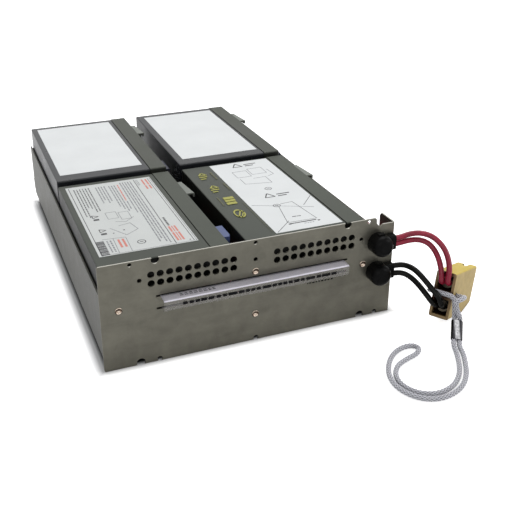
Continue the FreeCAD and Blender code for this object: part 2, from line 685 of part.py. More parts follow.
def make_batteries():
    for tag, (x, y, lift) in BATTERIES.items():
        # the case is inset all round, so it is lowered by that inset onto its pad
        z = BATTERY_FLOOR + lift - S.case_inset
        make_case(tag, x, y, z)
        make_lid(tag, x, y, z)
        make_vent_cover(tag, x, y, z)
        make_label(tag, x, y, z)
        make_grey_boot(tag, x, y, z + S.case_inset)
        make_blue_boot(tag, "big" if tag == "front_left" else "slim", x, y,
                       z + S.case_inset)
        make_pad(tag, x, y, lift)
    make_terminal_tabs()
    make_spacer("left", S.left_battery_x)
    make_spacer("right", S.right_battery_x)


# ---------------------------------------------------------------- bushings

def make_bushing(label, height):
    """A rubber bushing: a domed knob whose nozzle sends two leads off to the right."""
    body = new_body(label)
    place(body, S.bushing_x, 0.0, height)
    profile = new_sketch(body, f"{label}_profile", "XY_Plane", 0.0)
    clip_back = S.steel + S.bushing_clip_thick
    draw_polygon(profile, (
        (0.0, -S.bushing_reach), (S.bushing_radius, -S.bushing_reach), (S.bushing_radius, 0.0),
        (S.bushing_neck, 0.0), (S.bushing_neck, S.steel), (S.bushing_clip, S.steel),
        (S.bushing_clip, clip_back), (0.0, clip_back)))
    turn = body.newObject("PartDesign::Revolution", f"{label}_knob")
    turn.Profile = profile
    turn.ReferenceAxis = (profile, ["V_Axis"])
    turn.Angle = 360.0
    body.Tip = turn
    round_edges(body, f"{label}_dome", S.bushing_dome, lambda edge: (
        near(edge.BoundBox.YMin, -S.bushing_reach) and near(edge.BoundBox.YMax, -S.bushing_reach)))
    nozzle = new_sketch(body, f"{label}_nozzle_outline", "YZ_Plane", 0.0)
    draw_rectangle(nozzle, -S.nozzle_reach, -S.nozzle_half, 0.0, S.nozzle_half)
    pad(body, nozzle, f"{label}_nozzle", S.nozzle_end)
    round_edges(body, f"{label}_nozzle_edges", S.nozzle_round, lambda edge: (
        spans(edge, "x") and near(edge.BoundBox.Center.y, -S.nozzle_reach)
        and edge.BoundBox.XMax > value_of(S.bushing_radius)))
    latch = new_sketch(body, f"{label}_latch_outline", "XY_Plane", 0.0)
    back = -S.latch_back
    draw_rectangle(latch, -S.latch_length / 2, back - S.latch_width, S.latch_length / 2, back)
    pad(body, latch, f"{label}_latch", S.bushing_radius + S.latch_rise)


# ---------------------------------------------------------------- leads and cords

def arc_radius(before, corner, after):
    """0.45 of the shorter run, divided by the tangent of half the turn."""
    turn = (corner - before).getAngle(after - corner)
    shorter = min((corner - before).Length, (after - corner).Length)
    return 0.45 * shorter / tan(turn / 2), turn


def cord_path(points):
    """Straight runs joined by tangent arcs, and the radius of each arc."""
    edges = []
    radii = []
    last = points[0]
    for before, corner, after in zip(points, points[1:], points[2:]):
        radius, turn = arc_radius(before, corner, after)
        radii.append(radius)
        to_before = (before - corner).normalize()
        to_after = (after - corner).normalize()
        back_off = radius * tan(turn / 2)
        start = corner + to_before * back_off
        end = corner + to_after * back_off
        inward = (to_before + to_after).normalize()
        middle = corner + inward * (radius / cos(turn / 2) - radius)
        edges.append(Part.LineSegment(last, start).toShape())
        edges.append(Part.Arc(start, middle, end).toShape())
        last = end
    edges.append(Part.LineSegment(last, points[-1]).toShape())
    return Part.Wire(edges), radii


def cord_solid(label, points, radius):
    path, radii = cord_path(points)
    along = points[1] - points[0]
    ring = Part.Wire([Part.Circle(points[0], along, radius).toShape()])
    tube = path.makePipeShell([ring], True, True)
    expected = 3.14159265 * radius ** 2 * path.Length
    print(f"{label}: length {path.Length:.1f}, volume ratio {tube.Volume / expected:.4f},"
          f" radii {[round(value, 1) for value in radii]}")
    return tube


def make_cord(label, route, radius):
    """A plain tube; the route's Y is counted from the face of the front plate."""
    points = [Vector(*spot) for spot in route]
    tube = cord_solid(label, points, value_of(radius))
    piece = doc.addObject("Part::Feature", label)
    piece.Shape = tube
    keep(piece, label)
    place(piece)
    return piece


LEFT_LID = value_of(S.left_battery_x + S.battery_rise)
RIGHT_LID = value_of(S.right_battery_x + S.battery_rise)
LEAD_AWAY = 2.8
FRONT_LEVEL = value_of(BATTERY_FLOOR + S.front_pad + S.terminal_up)
REAR_LEVEL = value_of(BATTERY_FLOOR + S.rear_pad + S.terminal_up)
GREY_LOW = value_of(S.grey_boot_low)
GREY_LEAD = value_of(S.rear_terminal) - 4.0
SLIM_FRONT = value_of(S.front_terminal + S.slim_boot_heel - S.slim_boot_length)
SLIM_BACK = value_of(S.front_terminal + S.slim_boot_heel)
BIG_BACK = value_of(S.front_terminal + S.big_boot_heel)
FRONT_Y = value_of(S.front_battery_y)
REAR_Y = value_of(S.rear_battery_y)
CLIP_BACK = value_of(S.steel + S.bushing_clip_thick)
BUSHING_X = value_of(S.bushing_x)


def make_inner_leads():
    """The leads between the terminals and the inner side of the bushings."""
    upper = value_of(S.upper_bushing_z)
    lower = value_of(S.lower_bushing_z)
    spread = value_of(S.inner_spread)
    left = LEFT_LID + LEAD_AWAY
    right = RIGHT_LID + LEAD_AWAY
    grey_y = FRONT_Y + GREY_LEAD
    grey_z = FRONT_LEVEL - GREY_LOW
    blue_y = REAR_Y + SLIM_FRONT
    behind = 5.4
    make_cord("tray_red_lead_left", (
        (left, grey_y, grey_z), (left, grey_y, grey_z - 7.5), (-13, grey_y - 8, 48.5),
        (-13, 98, 44.8), (-13, 76, 42.8), (-12.8, 54, 41.4), (-12.2, 34, 39.6),
        (-11, 18, 37.4), (-7.6, behind + 0.4, 35.2),
        (6, behind, 33), (34, behind, 31.4), (62, behind, 33), (82, behind, 38.4),
        (92.4, behind + 0.2, 46.8), (98.4, behind + 5.2, 55.2),
        (BUSHING_X, CLIP_BACK + 5, upper - spread), (BUSHING_X, CLIP_BACK, upper - spread)),
        S.lead_radius)
    make_cord("tray_black_lead_left", (
        (left, blue_y, REAR_LEVEL), (left, blue_y - 8, REAR_LEVEL), (-12.8, 150, 62),
        (-12.9, 136, 50), (-12.9, 120, 40.4), (-12.8, 100, 34), (-12.4, 76, 30.5),
        (-12, 46, 28), (-10.6, 19, 26), (-7.6, behind + 0.4, 24.4), (8, behind, 22.8),
        (36, behind, 22), (62, behind, 23.2), (82, behind, 27.4),
        (92.4, behind + 0.2, 31.2), (98.4, behind + 6.4, 33.2),
        (BUSHING_X, CLIP_BACK + 5, lower - spread), (BUSHING_X, CLIP_BACK, lower - spread)),
        S.lead_radius)
    make_cord("tray_red_lead_right", (
        (right, grey_y, grey_z), (right, grey_y, grey_z - 7), (96.6, 113, 53.2),
        (101.4, 102, 53.4), (104.6, 87, 54.6), (106, 70, 56.4), (106.4, 51, 58.4),
        (106.4, 33, 60.4), (105.6, 18, 62.2), (104.2, 8.6, 63.2),
        (BUSHING_X, CLIP_BACK + 4.4, upper + spread), (BUSHING_X, CLIP_BACK, upper + spread)),
        S.lead_radius)
    make_cord("tray_black_lead_right", (
        (right, blue_y, REAR_LEVEL), (right, blue_y - 8, REAR_LEVEL), (96, 150, 64.6),
        (99.8, 138, 56.6), (101.6, 123, 48.6), (102, 103, 42.4), (101.4, 78, 39),
        (100, 52, 37.4), (98.6, 26, 38.4), (BUSHING_X, CLIP_BACK + 8, lower + spread),
        (BUSHING_X, CLIP_BACK, lower + spread)), S.lead_radius)


def make_links():
    """The lead that joins the two batteries of a side."""
    out = LEFT_LID + 7.8
    start = LEFT_LID + LEAD_AWAY
    rear_y = REAR_Y + GREY_LEAD
    rear_z = REAR_LEVEL - GREY_LOW
    make_cord("battery_link_left", (
        (start, rear_y, rear_z), (start, rear_y, rear_z - 7.5), (start + 0.8, rear_y - 9, 52.4),
        (out - 2, 249, 50.6), (out - 0.4, 228, 51), (out, 204, 52), (out, 180, 53.2),
        (out, 152, 54), (out + 0.2, 122, 53.4), (out, 94, 53.2), (out - 0.2, 76, 54.4),
        (out - 0.8, 62, 60.4), (start, FRONT_Y + BIG_BACK + 8, FRONT_LEVEL),
        (start, FRONT_Y + BIG_BACK, FRONT_LEVEL)), S.lead_radius)
    start = RIGHT_LID + LEAD_AWAY
    make_cord("battery_link_right", (
        (start, rear_y, rear_z), (start, rear_y, rear_z - 7.5), (start + 0.2, rear_y - 9, 50.6),
        (start + 0.4, 250, 47.4), (start + 0.5, 226, 46.2), (start + 0.5, 198, 45.8),
        (start + 0.5, 168, 45.6), (start + 0.5, 138, 45.6), (start + 0.5, 110, 45.8),
        (start + 0.5, 88, 47.6), (start + 0.4, 70, 54), (start + 0.2, 56, 62.6),
        (start, FRONT_Y + SLIM_BACK + 8, FRONT_LEVEL), (start, FRONT_Y + SLIM_BACK,
                                                        FRONT_LEVEL)), S.lead_radius)


# ---------------------------------------------------------------- connector

YAW = value_of(S.connector_yaw)
PITCH = value_of(S.connector_pitch)
CONNECTOR_TURN = (Rotation(Vector(0, 0, 1), YAW) * Rotation(Vector(0, 1, 0), PITCH)
                  * Rotation(Vector(1, 0, 0), 90))
CONNECTOR_BASE = Vector(value_of(S.connector_x), -value_of(S.connector_ahead),
                        value_of(S.housing_heel) * sin(radians(PITCH)))


def on_connector(along, up, out):
    """A point given along the housing, up it and out of it, Y from the plate's face."""
    return CONNECTOR_BASE + CONNECTOR_TURN.multVec(Vector(along, up, out))


def place_on_connector(thing):
    base = CONNECTOR_BASE + Vector(0, value_of(PLATE_FACE), 0)
    thing.Placement = Placement(base, CONNECTOR_TURN)


def make_housing():
    body = new_body("connector_housing")
    place_on_connector(body)
    end = S.housing_length
    top = S.housing_rise
    middle = S.housing_thick / 2
    outline = new_sketch(body, "housing_outline", "XY_Plane", 0.0)
    draw_polygon(outline, ((0.0, 0.0), (S.housing_heel, 0.0), (end, S.housing_toe),
                           (end, top), (0.0, top)))
    pad(body, outline, "housing_block", S.housing_thick)
    round_edges(body, "housing_edges", S.housing_edge, lambda edge: (
        edge.BoundBox.ZLength < 0.01 and edge.BoundBox.XMax > 1
        and edge.BoundBox.XMin < value_of(end) - 1))
    entries = new_sketch(body, "lead_entries", "YZ_Plane", 0.0)
    for up in (S.pole_low, S.pole_high):
        draw_rectangle(entries, up - S.cavity_rise / 2, middle - S.cavity_thick / 2,
                       up + S.cavity_rise / 2, middle + S.cavity_thick / 2)
    cut(body, entries, "lead_cavities", S.cavity_deep, backwards=True)
    mouths = new_sketch(body, "blade_mouths", "YZ_Plane", end)
    for up in (S.pole_low + 2.4, S.pole_high):
        draw_rectangle(mouths, up - S.blade_rise / 2, middle - S.blade_thick / 2,
                       up + S.blade_rise / 2, middle + S.blade_thick / 2)
    cut(body, mouths, "blade_cavities", end - S.cavity_deep + 1)
    tongue = new_sketch(body, "tongue_plan", "XZ_Plane", 1.0)
    draw_rectangle(tongue, S.mouth_back, S.mouth_low, end + 5, S.mouth_high)
    cut(body, tongue, "tongue_gap", top + 2)
    short = new_sketch(body, "short_tongue_plan", "XZ_Plane", 1.0)
    draw_rectangle(short, S.short_tongue, -1.0, end + 5, S.mouth_low)
    cut(body, short, "short_tongue", top + 2)
    hole = new_sketch(body, "hitch_hole_plan", "XY_Plane", -1.0)
    draw_circle(hole, S.hitch_hole_a, S.hitch_hole_b, S.hitch_hole_radius)
    cut(body, hole, "hitch_hole", S.housing_thick + 2, backwards=True)


def make_contacts():
    """A crimp barrel and a flat blade for each pole."""
    contacts = []
    middle = S.housing_thick / 2
    for pole, up, lift in (("low", S.pole_low, 2.4), ("high", S.pole_high, 0.0)):
        barrel = doc.addObject("Part::Cylinder", f"barrel_{pole}")
        bind(barrel, "Radius", S.barrel_radius)
        bind(barrel, "Height", S.cavity_deep - S.barrel_start)
        barrel.Placement = Placement(
            Vector(value_of(S.barrel_start), value_of(up), value_of(middle)),
            Rotation(Vector(0, 1, 0), 90))
        blade = doc.addObject("Part::Box", f"blade_{pole}")
        bind(blade, "Length", S.blade_end - S.cavity_deep + 1)
        bind(blade, "Width", S.blade_height)
        bind(blade, "Height", S.blade_plate)
        blade.Placement = Placement(
            Vector(value_of(S.cavity_deep - 1), value_of(up + lift - S.blade_height / 2),
                   value_of(middle - S.blade_plate / 2)), Rotation())
        contact = doc.addObject("Part::Fuse", f"contact_{pole}")
        contact.Base = barrel
        contact.Tool = blade
        contacts.append(contact)
    group = keep(doc.addObject("Part::Compound", "connector_contacts"), "connector_contacts")
    group.Links = contacts
    place_on_connector(group)


def make_contact_spring(pole, up):
    """The arched leaf that holds a blade up in its mouth."""
    body = new_body(f"contact_spring_{pole}")
    place_on_connector(body)
    low = (S.housing_thick - S.blade_thick) / 2
    high = (S.housing_thick - S.blade_plate) / 2
    leaf = S.spring_leaf
    outline = new_sketch(body, f"spring_outline_{pole}", "XZ_Plane", -(up - S.spring_width / 2))
    draw_polygon(outline, (
        (S.spring_start, low), (S.spring_start + leaf, low), (S.spring_crown, high - leaf),
        (S.spring_crown + 5, high - leaf), (S.spring_end - leaf, low), (S.spring_end, low),
        (S.spring_crown + 5, high), (S.spring_crown, high)))
    pad(body, outline, f"spring_leaf_{pole}", S.spring_width, backwards=True)


def make_outer_leads():
    """The free leads, from the bushings' nozzles to the crimp barrels."""
    out_x = value_of(S.bushing_x + S.nozzle_end)
    out_y = -value_of(S.lead_out)
    upper = value_of(S.upper_bushing_z)
    lower = value_of(S.lower_bushing_z)
    middle = value_of(S.housing_thick) / 2
    start = value_of(S.barrel_start)
    high = value_of(S.pole_high)
    low = value_of(S.pole_low)
    beside = 2.2
    spread = value_of(S.upper_spread)
    split = value_of(S.lower_spread)

    def into_pocket(before_face, up, across):
        return (tuple(on_connector(before_face, up, across)),
                tuple(on_connector(start, up, across)))

    make_cord("red_lead_outer", (
        (out_x, out_y, upper + spread), (out_x + 4.8, out_y, upper + spread),
        (122.1, -5.4, 66.2), (129.2, -8.8, 67.2), (135.8, -14.6, 65.7), (140.4, -21.6, 60.2),
        (141.2, -28.2, 53.6), (139.2, -34.2, 46))
        + into_pocket(-2.8, high, middle + beside), S.lead_radius)
    make_cord("red_lead_inner", (
        (out_x, out_y, upper - spread), (out_x + 4.8, out_y, upper - spread),
        (122, -4.8, 60.6), (129, -7.5, 61.1), (134.6, -12.2, 59.3), (137.4, -18.4, 54),
        (136.5, -25.8, 48.2), (135.2, -30.9, 41))
        + into_pocket(-2.8, high, middle - beside), S.lead_radius)
    make_cord("black_lead_upper", (
        (out_x, out_y, lower + split), (out_x + 4.8, out_y, lower + split),
        (119.6, -6.6, 41), (122.8, -13.6, 40.4), (124.6, -21.6, 37.6), (127.2, -29.6, 32.4),
        (130.5, -37.3, 26.7)) + into_pocket(-2.6, low + 0.2, middle + beside), S.lead_radius)
    make_cord("black_lead_lower", (
        (out_x, out_y, lower - split), (out_x + 4.8, out_y, lower - split),
        (119.8, -6.4, 33.6), (123.2, -12.6, 31.4), (124.8, -19.8, 28.5), (125.4, -27.9, 25.6))
        + into_pocket(-3.6, low - 0.2, middle - beside), S.lead_radius)


# ---------------------------------------------------------------- lanyard

FERRULE_TOP = Vector(138.0, -50.4, 12.7)
FERRULE_END = Vector(130.5, -61.5, 5.0)
STRAND_SIDE = Vector(0.92, -0.38, -0.1)
STRAND_LEAVE = 4.2

# the loop that lies on the floor, between the two strands at the ferrule's end
LOOP_ROUTE = (
    (123.4, -71.6, 2.0), (116.4, -83.6, 2.0), (108.2, -93.4, 2.0), (97.6, -100.6, 2.0),
    (85.4, -104.4, 2.0), (75.2, -101.2, 2.0), (69.8, -91.6, 2.0), (70.0, -79.4, 2.0),
    (76.4, -69.4, 2.0), (87.0, -64.8, 2.0), (97.6, -62.0, 2.0), (103.4, -56.8, 2.0),
    (100.6, -51.4, 2.0), (91.4, -51.2, 2.0), (80.6, -56.6, 2.0), (71.2, -66.8, 2.0),
    (65.0, -78.6, 2.0), (63.8, -91.4, 2.0), (69.2, -103.4, 2.0), (79.0, -110.2, 2.0),
    (92.0, -110.6, 2.0), (104.6, -105.4, 2.0), (114.8, -95.8, 2.0), (122.2, -84.4, 2.0),
    (128.4, -73.0, 2.0))


def strand_side():
    """Half the distance between the two strands, square to the ferrule."""
    along = (FERRULE_END - FERRULE_TOP).normalize()
    across = (STRAND_SIDE - along * STRAND_SIDE.dot(along)).normalize()
    return across * (value_of(S.cord_radius) + 0.1)


def make_ferrule():
    along = (FERRULE_END - FERRULE_TOP).normalize()
    across = strand_side().normalize()
    length = (FERRULE_END - FERRULE_TOP).Length
    half_width = value_of(S.ferrule_width) / 2
    half_thick = value_of(S.ferrule_thick) / 2
    straight = half_width - half_thick
    corners = [Vector(-straight, -half_thick, 0), Vector(straight, -half_thick, 0),
               Vector(straight, half_thick, 0), Vector(-straight, half_thick, 0)]
    outline = Part.Wire([
        Part.LineSegment(corners[0], corners[1]).toShape(),
        Part.Arc(corners[1], Vector(half_width, 0, 0), corners[2]).toShape(),
        Part.LineSegment(corners[2], corners[3]).toShape(),
        Part.Arc(corners[3], Vector(-half_width, 0, 0), corners[0]).toShape()])
    solid = Part.Face(outline).extrude(Vector(0, 0, length))
    solid = solid.makeFillet(value_of(S.ferrule_edge),
                             [edge for edge in solid.Edges if edge.BoundBox.ZLength < 0.01])
    piece = keep(doc.addObject("Part::Feature", "lanyard_ferrule"), "lanyard_ferrule")
    piece.Shape = solid
    base = FERRULE_TOP + Vector(0, value_of(PLATE_FACE), 0)
    piece.Placement = Placement(base, Rotation(across, along.cross(across), along, "ZXY"))


def make_lanyard():
    """The cord's hitch on the housing and the loop beyond the ferrule."""
    side = strand_side()
    leave = (FERRULE_TOP - FERRULE_END).normalize() * STRAND_LEAVE
    up = value_of(S.hitch_hole_b)
    hole = value_of(S.hitch_hole_a)
    hitch = [
        FERRULE_TOP - side, FERRULE_TOP - side + leave, on_connector(-1.6, 12.0, 18.5),
        on_connector(-2.3, up + 1.8, 17.2), on_connector(-2.3, up + 1.0, 7.6),
        on_connector(-2.5, up + 1.1, -2.7), on_connector(3.6, up + 0.4, -3.0),
        on_connector(hole - 0.1, up, -2.9), on_connector(hole, up, 4.6),
        on_connector(hole, up + 0.1, 13.4), on_connector(hole - 0.4, up + 0.8, 21.5),
        on_connector(1.8, up + 2.0, 23.2), on_connector(-4.2, up - 0.2, 23.0),
        on_connector(-4.4, up - 5.6, 24.2), FERRULE_TOP + side + leave, FERRULE_TOP + side]
    make_cord("lanyard_hitch", hitch, S.cord_radius)
    loop = [FERRULE_END - side, FERRULE_END - side - leave]
    loop += [Vector(*spot) for spot in LOOP_ROUTE]
    loop += [FERRULE_END + side - leave, FERRULE_END + side]
    make_cord("lanyard_loop", loop, S.cord_radius)


make_tray()
make_front_plate()
make_rivets()
make_pull_strap()
make_batteries()
make_bushing("upper_bushing", S.upper_bushing_z)
make_bushing("lower_bushing", S.lower_bushing_z)
make_inner_leads()
make_links()
make_housing()
make_contacts()
make_contact_spring("low", S.pole_low + 2.4)
make_contact_spring("high", S.pole_high)
make_outer_leads()
make_ferrule()
make_lanyard()
doc.recompute()

for thing in doc.Objects:
    if {"Invalid", "Error"} & set(thing.State):
        raise RuntimeError(f"{thing.Label} failed: {thing.State}")
for before, after in CUTS:
    if not after.Shape.Volume < before.Shape.Volume - 0.01:
        raise RuntimeError(f"{after.Label} removed nothing")
for part in SUB_PARTS:
    if part.Shape.isNull() or not part.Shape.isValid():
        raise RuntimeError(f"{part.Label} has no valid shape")

os.makedirs("parts", exist_ok=True)
for part in SUB_PARTS:
    part.Shape.exportStep(f"parts/{part.Label}.step")
print(len(SUB_PARTS), "sub-parts written")
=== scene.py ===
from math import atan2, cos, pi, sin
from random import Random

import bmesh
import bpy
from mathutils import Matrix, Vector


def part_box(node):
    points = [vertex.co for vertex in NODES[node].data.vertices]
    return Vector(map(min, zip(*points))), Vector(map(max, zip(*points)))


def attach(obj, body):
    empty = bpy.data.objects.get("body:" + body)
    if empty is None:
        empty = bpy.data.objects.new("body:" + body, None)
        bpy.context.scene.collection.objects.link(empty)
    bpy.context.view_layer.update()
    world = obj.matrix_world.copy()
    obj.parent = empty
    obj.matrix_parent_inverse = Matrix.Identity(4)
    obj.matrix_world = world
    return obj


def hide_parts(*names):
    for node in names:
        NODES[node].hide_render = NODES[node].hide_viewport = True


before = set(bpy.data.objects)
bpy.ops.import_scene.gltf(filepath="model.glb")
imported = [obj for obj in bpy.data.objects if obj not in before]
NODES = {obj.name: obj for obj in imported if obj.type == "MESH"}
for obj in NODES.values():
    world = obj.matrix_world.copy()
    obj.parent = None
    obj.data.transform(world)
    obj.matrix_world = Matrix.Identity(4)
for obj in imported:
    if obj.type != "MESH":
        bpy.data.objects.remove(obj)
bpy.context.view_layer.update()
MM = 0.001

# ------------------------------------------------------------------ camera

# the camera's three axes and its place, in the object's frame
RIGHT = Vector((0.934522, -0.355801, -0.008645))
DOWN = Vector((-0.146580, -0.362636, -0.920331))
AHEAD = Vector((0.324320, 0.861337, -0.391044))
EYE = Vector((-0.191694, -0.615573, 0.326538))

lens = bpy.data.cameras.new("camera")
lens.sensor_width = 36.0
lens.lens = 56.73
lens.shift_x = 0.0458
lens.shift_y = -0.1156
lens.clip_start = 0.05
lens.clip_end = 40.0
camera = bpy.data.objects.new("camera", lens)
bpy.context.scene.collection.objects.link(camera)
turn = Matrix((RIGHT, -DOWN, -AHEAD)).transposed().to_4x4()
camera.matrix_world = Matrix.Translation(EYE) @ turn
bpy.context.scene.camera = camera
bpy.context.scene.view_settings.view_transform = "Standard"


# ------------------------------------------------------------------ materials

class Graph:
    """Short calls that add nodes to a tree and link them."""

    def __init__(self, tree):
        self.tree = tree
        tree.nodes.clear()

    def add(self, kind):
        return self.tree.nodes.new(kind)

    def link(self, source, socket):
        self.tree.links.new(source, socket)

    def feed(self, socket, value):
        """Link a socket to another node, or set its own value."""
        if isinstance(value, bpy.types.NodeSocket):
            self.link(value, socket)
        elif socket.type == "RGBA":
            socket.default_value = (*value, 1.0)
        else:
            socket.default_value = value

    def maths(self, kind, a, b=0.0, clamp=False):
        node = self.add("ShaderNodeMath")
        node.operation = kind
        node.use_clamp = clamp
        self.feed(node.inputs[0], a)
        self.feed(node.inputs[1], b)
        return node.outputs[0]

    def seen(self, mirrored):
        """One for rays from the eye, the share told for mirrored ones, nothing for others."""
        ray = self.add("ShaderNodeLightPath").outputs
        bounced = self.maths("MAXIMUM", ray["Is Glossy Ray"], ray["Is Transmission Ray"])
        return self.maths("MAXIMUM", ray["Is Camera Ray"],
                          self.maths("MULTIPLY", bounced, mirrored))


class Look(Graph):
    """A node material: a principled shader, and the textures and masks that feed it."""

    def __init__(self, name):
        self.material = bpy.data.materials.new(name)
        self.material.use_nodes = True
        super().__init__(self.material.node_tree)
        self.shader = self.add("ShaderNodeBsdfPrincipled")
        self.link(self.shader.outputs[0], self.add("ShaderNodeOutputMaterial").inputs[0])
        self.where = self.add("ShaderNodeTexCoord").outputs["Object"]

    def set(self, **values):
        for name, value in values.items():
            self.feed(self.shader.inputs[name.replace("_", " ").title()], value)

    def plain(self, name, value):
        self.shader.inputs[name].default_value = value

    def axis(self, letter):
        node = self.add("ShaderNodeSeparateXYZ")
        self.link(self.where, node.inputs[0])
        return node.outputs[letter]

    def dot(self, source, direction):
        node = self.add("ShaderNodeVectorMath")
        node.operation = "DOT_PRODUCT"
        self.link(source, node.inputs[0])
        node.inputs[1].default_value = direction
        return node.outputs["Value"]

    def stretched(self, sx, sy, sz):
        node = self.add("ShaderNodeMapping")
        node.inputs["Scale"].default_value = (sx, sy, sz)
        self.link(self.where, node.inputs["Vector"])
        return node.outputs[0]

    def noise(self, scale, detail, rough, where=None, warp=0.0):
        node = self.add("ShaderNodeTexNoise")
        self.link(where or self.where, node.inputs["Vector"])
        node.inputs["Scale"].default_value = scale
        node.inputs["Detail"].default_value = detail
        node.inputs["Roughness"].default_value = rough
        node.inputs["Distortion"].default_value = warp
        return node.outputs["Fac"]

    def cells(self, scale):
        node = self.add("ShaderNodeTexVoronoi")
        self.link(self.where, node.inputs["Vector"])
        node.inputs["Scale"].default_value = scale
        return node.outputs["Distance"]

    def ramp(self, source, dark, light, low=0.3, high=0.7):
        """A colour between two, as the source goes from low to high."""
        node = self.add("ShaderNodeValToRGB")
        for element, at, colour in zip(node.color_ramp.elements, (low, high), (dark, light)):
            element.position = at
            element.color = (*colour, 1.0)
        self.link(source, node.inputs[0])
        return node.outputs[0]

    def span(self, source, low, high, a=0.0, b=1.0):
        """A value from a to b, as the source goes from low to high."""
        node = self.add("ShaderNodeMapRange")
        self.link(source, node.inputs[0])
        for socket, value in zip(node.inputs[1:5], (low, high, a, b)):
            self.feed(socket, value)
        return node.outputs[0]

    def blend(self, factor, a, b):
        node = self.add("ShaderNodeMix")
        node.data_type = "RGBA"
        self.feed(node.inputs[0], factor)
        self.feed(node.inputs[6], a)
        self.feed(node.inputs[7], b)
        return node.outputs[2]

    def bump(self, height, strength, distance):
        node = self.add("ShaderNodeBump")
        node.inputs["Strength"].default_value = strength
        node.inputs["Distance"].default_value = distance
        self.link(height, node.inputs["Height"])
        self.link(node.outputs[0], self.shader.inputs["Normal"])

    def facing(self, direction, low, high):
        """One on faces that look in a direction, and nothing on the others."""
        normal = self.add("ShaderNodeNewGeometry").outputs["True Normal"]
        return self.span(self.dot(normal, direction), low, high)

    def sheltered(self, reach, low, high):
        """One deep in a pocket, and nothing on open faces; it masks painted shade."""
        node = self.add("ShaderNodeAmbientOcclusion")
        node.samples = 8
        node.inputs["Distance"].default_value = reach
        return self.span(node.outputs["AO"], low, high, 1.0, 0.0)


def scaled(colour, share):
    return tuple(share * part for part in colour)


# directions, and the places that the finishes are measured from
UP = (0.0, 0.0, 1.0)
PLUG_REAR = (-0.80, -0.53, 0.28)
FERRULE_SIDE = (0.878, -0.479, 0.0)
FERRULE_MIDDLE = tuple((a + b) / 2 for a, b in zip(*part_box("lanyard_ferrule")))
STRAP_LOW, STRAP_HIGH = (Vector(corner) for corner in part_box("pull_strap"))
STRAP_FRONT = STRAP_LOW.y
STRAP_TOP = STRAP_HIGH.z

# heights where the sheet's painted highlight on upward top edges begins, and the sleeve's painted
# dark reflection to each side
EDGE_HIGHLIGHT_SPAN = (0.070, 0.074)
FERRULE_DARK_SPAN = (0.0011, 0.0022)

# the strap's painted highlight along its fold, behind and under its front top edge, and the depth
# of its shelf
FOLD_HIGHLIGHT_IN, FOLD_HIGHLIGHT_DOWN = 0.0007, 0.0008
FOLD_HIGHLIGHT_SPAN = (0.0003, 0.0008)
SHELF_DEPTH = 0.0010


def galvanised(name, gain):
    """Rolled galvanised sheet: cloudy zinc, a fine level grain, and a painted highlight on the
    upward faces of its top edges.
    """
    look = Look(name)
    broad = look.noise(9.0, 3.0, 0.55)
    mottle = look.noise(70.0, 4.0, 0.62, warp=0.4)
    smear = look.noise(26.0, 4.0, 0.65, look.stretched(0.45, 1.0, 2.6), 0.5)
    rolled = look.noise(900.0, 2.0, 0.5, look.stretched(0.03, 0.03, 1.0))
    grain = look.noise(2600.0, 2.0, 0.6)
    warm = look.ramp(broad, scaled(gain, 0.098), scaled(gain, 0.122))
    patch = look.ramp(mottle, scaled(gain, 0.074), scaled(gain, 0.142), 0.32, 0.68)
    streak = look.ramp(smear, scaled(gain, 0.082), scaled(gain, 0.132), 0.35, 0.65)
    tone = look.blend(0.4, look.blend(0.5, warm, streak), patch)
    # painted highlight: faces that look up along the top edges are lightened
    rim = look.span(look.axis("Z"), *EDGE_HIGHLIGHT_SPAN)
    painted_edge_highlight = look.maths("MULTIPLY", look.maths("MULTIPLY", look.facing(UP, 0.8, 0.95), rim),
                          0.9)
    look.set(base_color=look.blend(painted_edge_highlight, tone, (0.42, 0.41, 0.37)),
             metallic=0.92,
             roughness=look.maths("ADD", look.span(mottle, 0.3, 0.7, 0.38, 0.45),
                                  look.span(grain, 0.3, 0.7, -0.03, 0.03)))
    height = look.maths("ADD", look.maths("MULTIPLY", rolled, 0.5),
                        look.maths("MULTIPLY", grain, 0.6))
    look.bump(height, 0.16, 0.00010)
    return look.material


def moulded(name, dark, light, rough, grain=1500.0, strength=0.35, shine=0.5, sides=1.0):
    """Moulded plastic, with painted shade on its upright sides, as dark as told against its top.
    """
    look = Look(name)
    look.plain("Specular IOR Level", shine)
    broad = look.noise(22.0, 3.0, 0.6)
    fine = look.noise(grain, 3.0, 0.7)
    scuff = look.noise(90.0, 4.0, 0.7, look.stretched(1.0, 0.25, 1.0), 0.8)
    tone = look.ramp(broad, dark, light, 0.3, 0.72)
    # painted shade: upright faces take the tone darkened by the share sides
    if sides < 1.0:
        shaded = look.ramp(broad, scaled(dark, sides), scaled(light, sides), 0.3, 0.72)
        tone = look.blend(look.facing(UP, 0.3, 0.7), shaded, tone)
    marks = look.maths("MULTIPLY", look.span(scuff, 0.62, 0.75), 0.25, clamp=True)
    pale = tuple(1.8 * part + 0.01 for part in light)
    look.set(base_color=look.blend(marks, tone, pale),
             roughness=look.maths("ADD", look.span(broad, 0.3, 0.7, rough - 0.05, rough + 0.06),
                                  look.maths("MULTIPLY", marks, 0.4)))
    look.bump(fine, strength, 0.00006)
    return look.material


